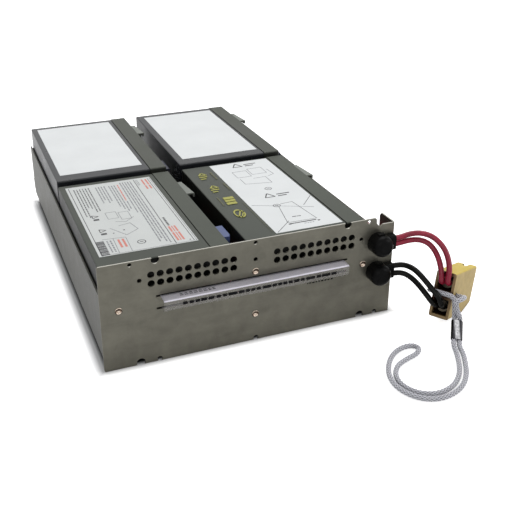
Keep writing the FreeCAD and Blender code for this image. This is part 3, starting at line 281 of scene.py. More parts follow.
def film():
    """Clear film: painted lighter and denser on its shelf, which is seen along its face, with a
    painted highlight at its fold.
    """
    look = Look("clear_film")
    y = look.axis("Y")
    z = look.axis("Z")
    ripple = look.noise(30.0, 2.0, 0.5, look.stretched(0.5, 3.0, 3.0))
    dust = look.noise(1200.0, 2.0, 0.6)
    out = look.maths("SUBTRACT", y, STRAP_FRONT + FOLD_HIGHLIGHT_IN)
    up = look.maths("SUBTRACT", z, STRAP_TOP - FOLD_HIGHLIGHT_DOWN)
    away = look.maths("SQRT", look.maths("ADD", look.maths("MULTIPLY", out, out),
                                         look.maths("MULTIPLY", up, up)))
    # painted highlight: a pale, nearly opaque band along the fold
    fold = look.span(away, *FOLD_HIGHLIGHT_SPAN, 1.0, 0.0)
    # painted sheen: the shelf gets a lighter tint and more opacity than the face
    shelf = look.span(look.maths("SUBTRACT", z, STRAP_TOP - SHELF_DEPTH), 0.0, SHELF_DEPTH / 2)
    tint = look.blend(shelf, (0.50, 0.48, 0.47), (0.60, 0.58, 0.635))
    look.set(base_color=look.blend(fold, tint, (0.86, 0.83, 0.92)),
             roughness=look.span(dust, 0.3, 0.75, 0.24, 0.34),
             alpha=look.maths("MAXIMUM", look.maths("MULTIPLY", fold, 0.92),
                              look.span(shelf, 0.0, 1.0, 0.15, 0.76)))
    look.plain("Coat Weight", 0.25)
    look.plain("Coat Roughness", 0.18)
    look.bump(ripple, 0.12, 0.0006)
    return look.material


def label_film(name, tone, rough=0.35):
    """Printed film, slightly uneven: a label's own face, or the ink on it."""
    look = Look(name)
    cloud = look.noise(40.0, 3.0, 0.5)
    fibre = look.noise(1500.0, 3.0, 0.6)
    look.set(base_color=look.ramp(cloud, scaled(tone, 0.95), tone),
             roughness=look.span(fibre, 0.3, 0.7, rough - 0.04, rough + 0.05))
    ripple = look.noise(60.0, 2.0, 0.5)
    look.bump(look.maths("ADD", ripple, look.maths("MULTIPLY", fibre, 0.05)), 0.10, 0.0004)
    return look.material


def insulation(name, dark, light, rough=0.28, shine=0.30, coat=0.08):
    """Smooth plastic with a thin gloss, or without one for a matt ink."""
    look = Look(name)
    cloud = look.noise(120.0, 2.0, 0.5)
    fine = look.noise(2200.0, 2.0, 0.6)
    look.set(base_color=look.ramp(cloud, dark, light),
             roughness=look.span(fine, 0.3, 0.7, rough - 0.05, rough + 0.07))
    look.plain("Specular IOR Level", shine)
    look.plain("Coat Weight", coat)
    look.plain("Coat Roughness", 0.10)
    look.bump(fine, 0.15, 0.00005)
    return look.material


def metal(name, tone, rough, worn=(0.9, 0.88, 0.84)):
    """Plated metal with fine scratches."""
    look = Look(name)
    streak = look.noise(900.0, 3.0, 0.6, look.stretched(1.0, 0.2, 1.0))
    cloud = look.noise(70.0, 3.0, 0.5)
    look.set(base_color=look.blend(look.maths("MULTIPLY", look.span(streak, 0.55, 0.75), 0.3),
                                   look.ramp(cloud, scaled(tone, 0.72), tone), worn),
             metallic=1.0,
             roughness=look.span(streak, 0.3, 0.7, rough - 0.06, rough + 0.10))
    look.bump(streak, 0.2, 0.00005)
    return look.material


def foam():
    look = Look("foam")
    cloud = look.noise(80.0, 3.0, 0.6)
    look.set(base_color=look.ramp(cloud, (0.018, 0.018, 0.019), (0.034, 0.034, 0.035)),
             roughness=0.95)
    look.bump(look.cells(900.0), 0.9, 0.0006)
    return look.material


def braid_yarn():
    """Matt white yarn, with painted shade in the gaps where the strands cross."""
    look = Look("white_cord")
    lay = look.noise(3200.0, 3.0, 0.7)
    cloud = look.noise(60.0, 3.0, 0.6)
    open_tone = look.blend(0.5, look.ramp(cloud, (0.62, 0.62, 0.665), (0.72, 0.72, 0.76)),
                           look.ramp(lay, (0.54, 0.54, 0.585), (0.78, 0.78, 0.82)))
    # painted shade: the yarn turns dark grey where the strands shelter each other
    gap = look.sheltered(0.0014, 0.56, 0.95)
    look.set(base_color=look.blend(gap, open_tone, (0.15, 0.15, 0.17)), roughness=0.75)
    look.plain("Sheen Weight", 0.15)
    look.bump(lay, 0.5, 0.0001)
    return look.material


def housing():
    """The plug's shell: yellow with painted light on top, tan at its sides as painted shade, and
    painted shade on its rear face and deep where the leads go in.
    """
    look = Look("yellow_housing")
    cloud = look.noise(160.0, 4.0, 0.65, warp=0.5)
    fine = look.noise(1300.0, 3.0, 0.7)
    # painted light and shade: tan for the sides, a brighter yellow for faces that look up
    tan = look.ramp(cloud, (0.44, 0.315, 0.105), (0.55, 0.41, 0.155))
    bright = look.ramp(cloud, (0.55, 0.40, 0.045), (0.65, 0.49, 0.070))
    rear_shade = look.ramp(cloud, (0.22, 0.145, 0.070), (0.33, 0.23, 0.115))
    tone = look.blend(look.facing(UP, 0.45, 0.80), tan, bright)
    # painted shade on the rear face, where the leads go in
    tone = look.blend(look.facing(PLUG_REAR, 0.55, 0.85), tone, rear_shade)
    # painted shade: near black deep in the pockets
    deep = look.sheltered(0.008, 0.42, 0.78)
    look.set(base_color=look.blend(deep, tone, (0.030, 0.007, 0.005)),
             roughness=look.span(fine, 0.3, 0.7, 0.36, 0.50))
    look.plain("Specular IOR Level", 0.2)
    look.bump(fine, 0.3, 0.00006)
    return look.material


def crimped():
    """A polished sleeve, bright along its middle, with a painted dark reflection towards its two
    sides.
    """
    look = Look("ferrule_metal")
    streak = look.noise(700.0, 3.0, 0.6, look.stretched(1.0, 1.0, 0.25))
    # painted dark reflection: the sleeve darkens away from its middle, towards its two sides
    off = look.maths("SUBTRACT", look.dot(look.where, FERRULE_SIDE),
                     Vector(FERRULE_MIDDLE).dot(Vector(FERRULE_SIDE)))
    painted_dark_sides = look.span(look.maths("ABSOLUTE", off), *FERRULE_DARK_SPAN)
    tone = (0.74, 0.74, 0.76)
    bright = look.ramp(streak, scaled(tone, 0.55), tone, 0.35, 0.65)
    look.set(base_color=look.blend(painted_dark_sides, bright, (0.035, 0.035, 0.038)), metallic=1.0,
             roughness=look.span(streak, 0.3, 0.7, 0.08, 0.20))
    look.bump(streak, 0.25, 0.00008)
    return look.material


def dished():
    """Pressed eyelets: painted shade under their upper rim and a painted highlight where the dish
    looks up.
    """
    look = Look("eyelet_steel")
    cloud = look.noise(500.0, 3.0, 0.6)
    # painted shade on faces that look down, a painted highlight on faces that look up
    look.set(base_color=look.blend(look.facing(UP, 0.0, 0.5), (0.055, 0.038, 0.026),
                                   (0.86, 0.72, 0.60)),
             metallic=0.8, roughness=look.span(cloud, 0.3, 0.7, 0.24, 0.40))
    look.bump(cloud, 0.2, 0.00005)
    return look.material


STEEL = galvanised("galvanised_steel", (0.86, 0.845, 0.73))
PLATE = galvanised("plate_steel", (1.50, 1.44, 1.18))
# sides sets each plastic's painted shade on its upright faces, as a share of its top's tone
CASE = moulded("battery_plastic", (0.010, 0.011, 0.013), (0.016, 0.018, 0.021), 0.30,
               strength=0.12, shine=0.35)
FRONT_CASE = moulded("front_battery_plastic", (0.054, 0.060, 0.049), (0.066, 0.073, 0.060), 0.36,
                     strength=0.12, shine=0.15, sides=0.09)
FRONT_LID = moulded("front_lid_plastic", (0.062, 0.068, 0.055), (0.078, 0.086, 0.070), 0.46,
                    shine=0.15, sides=0.09)
LID = moulded("lid_plastic", (0.025, 0.029, 0.019), (0.038, 0.043, 0.029), 0.46, shine=0.40,
              sides=0.30)
COVER = moulded("cover_plastic", (0.014, 0.015, 0.013), (0.022, 0.024, 0.020), 0.42, sides=0.4)
WHITE_LABEL = label_film("label_film", (0.72, 0.74, 0.74))
SILVER_LABEL = label_film("silver_label_film", (0.58, 0.60, 0.585), 0.30)
FILM = film()
GREY_VINYL = moulded("grey_vinyl", (0.15, 0.163, 0.142), (0.21, 0.222, 0.196), 0.40,
                     grain=1100.0, strength=0.2, shine=0.3)
BLUE_VINYL = moulded("blue_vinyl", (0.050, 0.075, 0.19), (0.085, 0.115, 0.25), 0.34,
                     grain=1100.0, strength=0.2, shine=0.4)
NAVY_VINYL = moulded("navy_vinyl", (0.006, 0.008, 0.022), (0.012, 0.016, 0.040), 0.34,
                     grain=1100.0, strength=0.2, shine=0.3)
BLACK_NYLON = moulded("black_nylon", (0.0035, 0.0035, 0.0035), (0.006, 0.006, 0.006), 0.30,
                      grain=1400.0, strength=0.2, shine=0.05)
RED = insulation("red_insulation", (0.21, 0.008, 0.026), (0.34, 0.016, 0.046))
BLACK = insulation("black_insulation", (0.004, 0.004, 0.0035), (0.008, 0.008, 0.007), rough=0.16,
                   shine=0.08, coat=0.05)
YELLOW = housing()
EYELET = dished()
TINNED = metal("tinned_brass", (0.40, 0.36, 0.28), 0.26)
CONTACT = metal("contact_metal", (0.10, 0.085, 0.065), 0.34, worn=(0.20, 0.18, 0.15))
SPRING = metal("spring_steel", (0.40, 0.40, 0.41), 0.22)
FERRULE = crimped()
FOAM = foam()
YARN = braid_yarn()
DARK_INK = label_film("dark_ink", (0.030, 0.030, 0.034), 0.42)
SOFT_INK = label_film("soft_ink", (0.20, 0.205, 0.22), 0.42)
RED_INK = label_film("red_ink", (0.60, 0.19, 0.145), 0.42)
YELLOW_INK = label_film("yellow_ink", (0.34, 0.33, 0.050), 0.45)
DIM_INK = label_film("dim_yellow_ink", (0.10, 0.10, 0.040), 0.45)
STRAP_INK = insulation("strap_ink", (0.006, 0.006, 0.007), (0.014, 0.014, 0.015), rough=0.5,
                       shine=0.05, coat=0.0)

# the start of a node's name, and its finish
FINISH = {
    "tray": STEEL, "front_plate": PLATE, "plate_rivets": EYELET, "terminal_tabs": TINNED,
    "foam_spacer": FOAM, "foam_pad": FOAM, "battery_case": CASE, "battery_lid": LID,
    "battery_case_front": FRONT_CASE, "battery_lid_front": FRONT_LID,
    "vent_cover": COVER, "battery_label_front_left": SILVER_LABEL,
    "battery_label": WHITE_LABEL, "grey_boot": GREY_VINYL, "blue_boot": NAVY_VINYL,
    "blue_boot_front_left": BLUE_VINYL,
    "upper_bushing": BLACK_NYLON, "lower_bushing": BLACK_NYLON,
    "connector_housing": YELLOW, "connector_contacts": CONTACT, "contact_spring": SPRING,
    "lanyard_ferrule": FERRULE, "pull_strap": FILM, "red_lead": RED, "black_lead": BLACK,
    "tray_red": RED, "tray_black": BLACK, "battery_link": BLACK, "lanyard": YARN,
}


def finish_for(name):
    """The finish with the longest start that fits a node's name."""
    return FINISH[max((start for start in FINISH if name.startswith(start)), key=len)]


def paint(thing, material):
    if thing.material_slots:
        for held in thing.material_slots:
            held.material = material
    else:
        thing.data.materials.append(material)


for name, thing in NODES.items():
    paint(thing, finish_for(name))


# ------------------------------------------------------------------ pieces

def settle(thing, material):
    """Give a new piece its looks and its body."""
    paint(thing, material)
    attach(thing, "root")
    return thing


def spline_object(name, points, radius=0.0, steps=12):
    data = bpy.data.curves.new(name, "CURVE")
    data.dimensions = "3D"
    data.resolution_u = steps
    data.bevel_depth = radius
    data.bevel_resolution = 5
    data.use_fill_caps = radius > 0.0
    line = data.splines.new("NURBS")
    line.points.add(len(points) - 1)
    for spot, place in zip(line.points, points):
        spot.co = (*place, 1.0)
    line.order_u = 3
    line.use_endpoint_u = True
    thing = bpy.data.objects.new(name, data)
    bpy.context.scene.collection.objects.link(thing)
    return thing


def mesh_object(name, mesh, soft=True):
    bmesh.ops.recalc_face_normals(mesh, faces=mesh.faces)
    data = bpy.data.meshes.new(name)
    mesh.to_mesh(data)
    mesh.free()
    if soft:
        data.polygons.foreach_set("use_smooth", [True] * len(data.polygons))
    thing = bpy.data.objects.new(name, data)
    bpy.context.scene.collection.objects.link(thing)
    return thing


def circle(count):
    """Points of a unit circle, in equal steps."""
    return [(cos(2 * pi * k / count), sin(2 * pi * k / count)) for k in range(count)]


def tube(mesh, rings):
    """Faces all round, between each ring of vertices and the next."""
    for a, b in zip(rings, rings[1:]):
        for k in range(len(a)):
            beside = (k + 1) % len(a)
            mesh.faces.new((a[k], a[beside], b[beside], b[k]))


def capped_tube(mesh, rings):
    tube(mesh, rings)
    mesh.faces.new(rings[0][::-1])
    mesh.faces.new(rings[-1])


def fan(mesh, ring, tip):
    for k in range(len(ring)):
        mesh.faces.new((ring[k], ring[(k + 1) % len(ring)], tip))


# ------------------------------------------------------------------ leads

LEAD = 0.0042

# each lead's length, and its route from bushing to plug or, below, inside the tray
LEADS = {
    "red_lead_outer": (0.0753, (
        (0.1100, -0.1582, 0.0635), (0.1148, -0.1582, 0.0635), (0.1221, -0.1603, 0.0662),
        (0.1292, -0.1637, 0.0672), (0.1358, -0.1695, 0.0657), (0.1404, -0.1765, 0.0602),
        (0.1412, -0.1831, 0.0536), (0.1392, -0.1891, 0.0460), (0.13687, -0.19021, 0.03559),
        (0.14311, -0.18605, 0.03343))),
    "red_lead_inner": (0.0661, (
        (0.1100, -0.1582, 0.0589), (0.1148, -0.1582, 0.0589), (0.1220, -0.1597, 0.0606),
        (0.1290, -0.1624, 0.0611), (0.1346, -0.1671, 0.0593), (0.1374, -0.1733, 0.0540),
        (0.1365, -0.1807, 0.0482), (0.1352, -0.1858, 0.0410), (0.13443, -0.18655, 0.03559),
        (0.14067, -0.18239, 0.03343))),
    "black_lead_upper": (0.0621, (
        (0.1100, -0.1582, 0.04045), (0.1148, -0.1582, 0.04045), (0.1196, -0.1615, 0.0410),
        (0.1228, -0.1685, 0.0404), (0.1246, -0.1765, 0.0376), (0.1272, -0.1845, 0.0324),
        (0.1305, -0.1922, 0.0267), (0.13283, -0.1929, 0.01805), (0.13891, -0.18885, 0.01594))),
    "black_lead_lower": (0.0526, (
        (0.1100, -0.1582, 0.03395), (0.1148, -0.1582, 0.03395), (0.1198, -0.1613, 0.0336),
        (0.1232, -0.1675, 0.0314), (0.1248, -0.1747, 0.0285), (0.1254, -0.1828, 0.0256),
        (0.1295, -0.18984, 0.01794), (0.13638, -0.18525, 0.01556))),
}

INNER_LEADS = {
    "tray_red_lead_left": (0.2495, (
        (-0.0132, -0.0329, 0.0628), (-0.0132, -0.0329, 0.0553), (-0.0130, -0.0409, 0.0485),
        (-0.0130, -0.0569, 0.0448), (-0.0130, -0.0789, 0.0428), (-0.0128, -0.1009, 0.0414),
        (-0.0122, -0.1209, 0.0396), (-0.0110, -0.1369, 0.0374), (-0.0076, -0.1491, 0.0352),
        (0.0060, -0.1495, 0.0330), (0.0340, -0.1495, 0.0314), (0.0620, -0.1495, 0.0330),
        (0.0820, -0.1495, 0.0384), (0.0915, -0.1485, 0.0474), (0.0966, -0.1456, 0.0546),
        (0.0977, -0.1468, 0.0584), (0.0977, -0.1529, 0.0589))),
    "tray_red_lead_right": (0.1325, (
        (0.0930, -0.0329, 0.0628), (0.0930, -0.0329, 0.0558), (0.0966, -0.0419, 0.0532),
        (0.1014, -0.0529, 0.0534), (0.1046, -0.0679, 0.0546), (0.1060, -0.0849, 0.0564),
        (0.1064, -0.1039, 0.0584), (0.1064, -0.1219, 0.0604), (0.1056, -0.1369, 0.0622),
        (0.1042, -0.1463, 0.0632), (0.0977, -0.1485, 0.0635), (0.0977, -0.1529, 0.0635))),
    "tray_black_lead_left": (0.2916, (
        (-0.0132, 0.0151, 0.0714), (-0.0132, 0.0071, 0.0714), (-0.0128, -0.0049, 0.0620),
        (-0.0129, -0.0189, 0.0500), (-0.0129, -0.0349, 0.0404), (-0.0128, -0.0549, 0.0340),
        (-0.0124, -0.0789, 0.0305), (-0.0120, -0.1089, 0.0280), (-0.0106, -0.1359, 0.0260),
        (-0.0076, -0.1491, 0.0244), (0.0080, -0.1495, 0.0228), (0.0360, -0.1495, 0.0220),
        (0.0620, -0.1495, 0.0232), (0.0820, -0.1495, 0.0274), (0.0905, -0.1484, 0.0304),
        (0.0958, -0.1456, 0.0330), (0.0976, -0.1472, 0.0346), (0.0977, -0.1529, 0.0349))),
    "tray_black_lead_right": (0.1761, (
        (0.0930, 0.0151, 0.0714), (0.0930, 0.0071, 0.0714), (0.0960, -0.0049, 0.0646),
        (0.0998, -0.0169, 0.0566), (0.1016, -0.0319, 0.0486), (0.1020, -0.0519, 0.0424),
        (0.1014, -0.0769, 0.0390), (0.1000, -0.1029, 0.0374), (0.0986, -0.1289, 0.0384),
        (0.0977, -0.1449, 0.0395), (0.0977, -0.1529, 0.0395))),
    "battery_link_left": (0.2485, (
        (-0.0132, 0.1221, 0.0654), (-0.0132, 0.1221, 0.0579), (-0.0124, 0.1131, 0.0524),
        (-0.0102, 0.0941, 0.0506), (-0.0086, 0.0731, 0.0510), (-0.0082, 0.0491, 0.0520),
        (-0.0082, 0.0251, 0.0532), (-0.0082, -0.0029, 0.0540), (-0.0080, -0.0329, 0.0534),
        (-0.0082, -0.0609, 0.0532), (-0.0084, -0.0789, 0.0544), (-0.0090, -0.0929, 0.0604),
        (-0.0132, -0.1059, 0.0688), (-0.0132, -0.1139, 0.0688))),
    "battery_link_right": (0.2546, (
        (0.0930, 0.1221, 0.0654), (0.0930, 0.1221, 0.0579), (0.0932, 0.1131, 0.0506),
        (0.0934, 0.0951, 0.0474), (0.0935, 0.0711, 0.0462), (0.0935, 0.0431, 0.0458),
        (0.0935, 0.0131, 0.0456), (0.0935, -0.0169, 0.0456), (0.0935, -0.0449, 0.0458),
        (0.0935, -0.0669, 0.0476), (0.0934, -0.0849, 0.0540), (0.0932, -0.0989, 0.0626),
        (0.0930, -0.1099, 0.0688), (0.0930, -0.1179, 0.0688))),
}


def wire(name, points):
    """An insulated lead, in place of the solid of the same name."""
    lead = spline_object(name + "_wire", points, LEAD / 2)
    red = "red" in name
    settle(lead, RED if red else BLACK)
    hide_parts(name)
    return lead


for name, (length, points) in LEADS.items():
    wire(name, points)

for name, (length, points) in INNER_LEADS.items():
    wire(name, points)


# ------------------------------------------------------------------ lanyard

CORD = 0.0039

# the hitch runs through the hole in the plug, and the loop lies on the floor
HITCH = (
    (0.13622, -0.20433, 0.01303), (0.13826, -0.20131, 0.01513), (0.13925, -0.19920, 0.02085),
    (0.13973, -0.19732, 0.02834), (0.13422, -0.18946, 0.02857), (0.12836, -0.18098, 0.02860),
    (0.13291, -0.17758, 0.02536), (0.13631, -0.17544, 0.02379), (0.14055, -0.18162, 0.02376),
    (0.14546, -0.18893, 0.02385), (0.14940, -0.19600, 0.02500), (0.14560, -0.20060, 0.02820),
    (0.14080, -0.20350, 0.02900), (0.13730, -0.20280, 0.02830), (0.13760, -0.20280, 0.02440),
    (0.13820, -0.20480, 0.01950), (0.14040, -0.20520, 0.01520), (0.13978, -0.20627, 0.01237))
LOOP = (
    (0.12872, -0.21543, 0.00533), (0.12669, -0.21845, 0.00324), (0.1238, -0.2268, 0.0020),
    (0.1173, -0.2391, 0.0020), (0.1095, -0.2497, 0.0020), (0.0987, -0.2581, 0.0020),
    (0.0854, -0.2611, 0.0020), (0.0746, -0.2569, 0.0020), (0.0681, -0.2465, 0.0020),
    (0.0692, -0.2343, 0.0020), (0.0764, -0.2243, 0.0020), (0.0870, -0.2197, 0.0020),
    (0.0976, -0.2169, 0.0020), (0.1034, -0.2117, 0.0020), (0.1006, -0.2063, 0.0020),
    (0.0914, -0.2061, 0.0020), (0.0806, -0.2115, 0.0020), (0.0712, -0.2217, 0.0020),
    (0.0650, -0.2335, 0.0020), (0.0638, -0.2463, 0.0020), (0.0692, -0.2583, 0.0020),
    (0.0790, -0.2651, 0.0020), (0.0920, -0.2655, 0.0020), (0.1046, -0.2603, 0.0020),
    (0.1148, -0.2507, 0.0020), (0.1222, -0.2393, 0.0020), (0.1284, -0.2279, 0.0020),
    (0.13024, -0.22039, 0.00257), (0.13228, -0.21737, 0.00467))

# a number of yarns wound each way, which each cover a share of their own lane
CARRIERS = 6
PITCH = 0.0174
YARN_THICK = 0.20 * CORD
YARN_WAVE = 0.060 * CORD
YARN_COVER = 0.74
YARN_SIDES = 6
CORE_SUNK = 0.75 * YARN_THICK
CORE_SIDES = 10


def follow(points):
    """The points of the route's own NURBS line, in order."""
    guide = spline_object("guide", points, steps=24)
    bpy.context.view_layer.update()
    graph = bpy.context.evaluated_depsgraph_get()
    mesh = bpy.data.meshes.new_from_object(guide.evaluated_get(graph))
    line = [v.co.copy() for v in mesh.vertices]
    bpy.data.meshes.remove(mesh)
    data = guide.data
    bpy.data.objects.remove(guide)
    bpy.data.curves.remove(data)
    return line


def even(line, step):
    """Points about a step apart on a line, with its direction and two square axes at each."""
    runs = [0.0]
    for a, b in zip(line, line[1:]):
        runs.append(runs[-1] + (b - a).length)
    count = round(runs[-1] / step)
    spots = []
    i = 0
    for k in range(count + 1):
        want = runs[-1] * k / count
        while i < len(runs) - 2 and runs[i + 1] < want:
            i += 1
        part = (want - runs[i]) / (runs[i + 1] - runs[i])
        spots.append(line[i].lerp(line[i + 1], min(1.0, part)))
    frames = []
    side = (spots[1] - spots[0]).normalized().cross(Vector(UP))
    for k, spot in enumerate(spots):
        ahead = (spots[min(k + 1, count)] - spots[max(k - 1, 0)]).normalized()
        side = (side - ahead * side.dot(ahead)).normalized()
        frames.append((spot, ahead, side, ahead.cross(side)))
    return frames, runs[-1]


def braid(name, points):
    """A plaited cord: as many yarns each way, over and under in turn, on a round core."""
    crossing = PITCH / (2 * CARRIERS)
    frames, length = even(follow(points), crossing / 4)
    middle = CORD / 2 - YARN_THICK / 2 - YARN_WAVE
    slope = atan2(2 * pi * middle, PITCH)
    wide = YARN_COVER * 2 * pi * middle * cos(slope) / CARRIERS
    mesh = bmesh.new()
    for way in (1, -1):
        for carrier in range(CARRIERS):
            rings = []
            for k, (spot, ahead, side, up) in enumerate(frames):
                run = length * k / (len(frames) - 1)
                angle = 2 * pi * (carrier / CARRIERS + way * run / PITCH)
                out = side * cos(angle) + up * sin(angle)
                along = ahead.cross(out) * way
                flat = (along * cos(slope) - ahead * sin(slope)).normalized()
                centre = spot + out * (middle + way * YARN_WAVE * cos(pi * run / crossing))
                rings.append([mesh.verts.new(centre + flat * (wide / 2 * x)
                                             + out * (YARN_THICK / 2 * y))
                              for x, y in circle(YARN_SIDES)])
            capped_tube(mesh, rings)
    core = middle - CORE_SUNK
    rings = []
    for spot, _, side, up in frames[::4] + [frames[-1]]:
        rings.append([mesh.verts.new(spot + side * (core * x) + up * (core * y))
                      for x, y in circle(CORE_SIDES)])
    capped_tube(mesh, rings)
    return mesh_object(name, mesh), [list(place[0]) for place in frames]


hitch, hitch_line = braid("hitch_braid", HITCH)
settle(hitch, YARN)
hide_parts("lanyard_hitch")

loop, loop_line = braid("loop_braid", LOOP)
settle(loop, YARN)
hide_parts("lanyard_loop")


# ------------------------------------------------------------------ pull strap

PLATE_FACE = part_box("front_plate")[0][1]
FILM_THICK = 0.00025
FOLD = 0.0013
LOWER_BEND = 0.0033

# how far and in how many half waves the face sways along X, and from how far out of the plate
SWAY = 0.00018
SWAYS = 3.0
SWAY_OUT = 0.003
STRAP_STEPS = 48

# the film's middle: inside the slots, along its shelf, down its face, and at its lowest
TUCK_Y = PLATE_FACE + 0.0007
SHELF_Z = STRAP_TOP - 0.0004
FRONT_Y = STRAP_FRONT + 0.0003
LOW_Z = STRAP_LOW.z + 0.0006
SLOT_MOUTH = PLATE_FACE - 0.002


def bend(centre, radius, start, end, steps=10):
    """Points of an arc in Y and Z, its angles in turns counted from the front, upwards."""
    points = []
    for k in range(steps + 1):
        angle = 2 * pi * (start + (end - start) * k / steps)
        points.append((centre[0] - radius * cos(angle), centre[1] + radius * sin(angle)))
    return points


def strap_section():
    """The middle of the film in Y and Z: shelf, soft fold, face, and back into the plate."""
    section = [(TUCK_Y, SHELF_Z - 0.0002), (SLOT_MOUTH, SHELF_Z)]
    section += bend((FRONT_Y + FOLD, SHELF_Z - FOLD), FOLD, 0.25, 0.0)
    section += [(FRONT_Y + 0.0001, SHELF_Z - 0.0048)]
    section += bend((FRONT_Y + 0.0036, LOW_Z + 0.0032), LOWER_BEND, -0.02, -0.22, 6)
    section += [(SLOT_MOUTH, LOW_Z + 0.0001), (TUCK_Y, LOW_Z + 0.0003)]
    return section


def strap_film():
    """The strap's section, given the film's thickness and swept along X, with a slight sway."""
    section = strap_section()
    sides = []
    for offset in (FILM_THICK / 2, -FILM_THICK / 2):
        row = []
        for k, (y, z) in enumerate(section):
            before = section[max(k - 1, 0)]
            after = section[min(k + 1, len(section) - 1)]
            ahead = Vector((after[0] - before[0], after[1] - before[1])).normalized()
            row.append((y + ahead.y * offset, z - ahead.x * offset))
        sides.append(row)
    outline = sides[0] + sides[1][::-1]
    mesh = bmesh.new()
    rings = []
    for k in range(STRAP_STEPS + 1):
        x = STRAP_LOW.x + (STRAP_HIGH.x - STRAP_LOW.x) * k / STRAP_STEPS
        sway = SWAY * sin(pi * k / STRAP_STEPS * SWAYS)
        rings.append([mesh.verts.new((x, y + (sway if y < PLATE_FACE - SWAY_OUT else 0.0), z))
                      for y, z in outline])
    tube(mesh, rings)
    for ring in (rings[0], rings[-1]):
        for k in range(len(section) - 1):
            mesh.faces.new((ring[k], ring[k + 1], ring[-2 - k], ring[-1 - k]))
    return mesh_object("strap_film", mesh)


strap = settle(strap_film(), FILM)
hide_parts("pull_strap")


# ------------------------------------------------------------------ printed marks

# a mark's own thickness, and how far the strap's marks stand off its shelf and its swaying face
PRINT_THICK = 0.00005
PRINT_GAP = 0.00002
FACE_GAP = 0.0003
RING_STEPS = 20


class Marks:
    """Flat marks on one face, each a thin closed plate, gathered into one mesh.

    Places and sizes are in millimetres, across the face and along it.
    """

    def __init__(self, name, corner, along, up):
        self.name = name
        self.corner = Vector(corner)
        self.across = Vector((1.0, 0.0, 0.0))
        self.along = Vector(along)
        self.lift = Vector(up) * PRINT_THICK
        self.mesh = bmesh.new()

    def plate(self, *corners):
        """A filled shape with the corners told."""
        base = [self.corner + self.across * (u * MM) + self.along * (v * MM)
                for u, v in corners]
        low = [self.mesh.verts.new(spot) for spot in base]
        high = [self.mesh.verts.new(spot + self.lift) for spot in base]
        capped_tube(self.mesh, (low, high))

    def bar(self, u0, v0, u1, v1):
        self.plate((u0, v0), (u1, v0), (u1, v1), (u0, v1))

    def line(self, a, b, width):
        ahead = Vector((b[0] - a[0], b[1] - a[1])).normalized()
        side = Vector((-ahead.y, ahead.x)) * (width / 2)
        self.plate((a[0] + side.x, a[1] + side.y), (a[0] - side.x, a[1] - side.y),
                   (b[0] - side.x, b[1] - side.y), (b[0] + side.x, b[1] + side.y))

    def path(self, width, *spots):
        for a, b in zip(spots, spots[1:]):
            self.line(a, b, width)

    def frame(self, u0, v0, u1, v1, width):
        self.path(width, (u0, v0), (u1, v0), (u1, v1), (u0, v1), (u0, v0))

    def ring(self, u, v, radius, width, squash=1.0):
        """A round line, made of short plates."""
        outer, inner = ([(u + r * x, v + r * squash * y) for x, y in circle(RING_STEPS)]
                        for r in (radius, radius - width))
        for k in range(RING_STEPS):
            beside = (k + 1) % RING_STEPS
            self.plate(outer[k], outer[beside], inner[beside], inner[k])

    def row(self, a, b, height, dice, longest=5.0, gap=0.9, shortest=1.1):
        """A row of dashes of uneven length, like small print seen from afar."""
        run = Vector((b[0] - a[0], b[1] - a[1]))
        ahead = run.normalized()
        at = 0.0
        while at < run.length - shortest:
            size = min(dice.uniform(shortest, longest), run.length - at)
            start = Vector(a) + ahead * at
            self.line(start, start + ahead * size, height)
            at += size + gap

    def column(self, u, v, step, lean, lengths, height, dice, longest, gap=0.8):
        """Rows that run towards the front, side by side, each with its own length."""
        for number, length in enumerate(lengths):
            start = u - step * number
            self.row((start, v), (start - lean, v + length), height, dice, longest, gap)

    def done(self, material, slot):
        settle(mesh_object(self.name, self.mesh, False), material)


def level_marks(name, corner):
    """Marks on a face that looks up, placed to the right and to the front of a corner."""
    return Marks(name, corner, (0.0, -1.0, 0.0), UP)


def upright_marks(name, y):
    """Marks on a face that looks ahead, placed to the right of and above the origin."""
    return Marks(name, (0.0, y, 0.0), UP, (0.0, -1.0, 0.0))


def label_face(name):
    """A label's width and depth in millimetres, and its left back corner on top."""
    low, high = (Vector(corner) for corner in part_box(name))
    return (high.x - low.x) / MM, (high.y - low.y) / MM, (low.x, high.y, high.z)


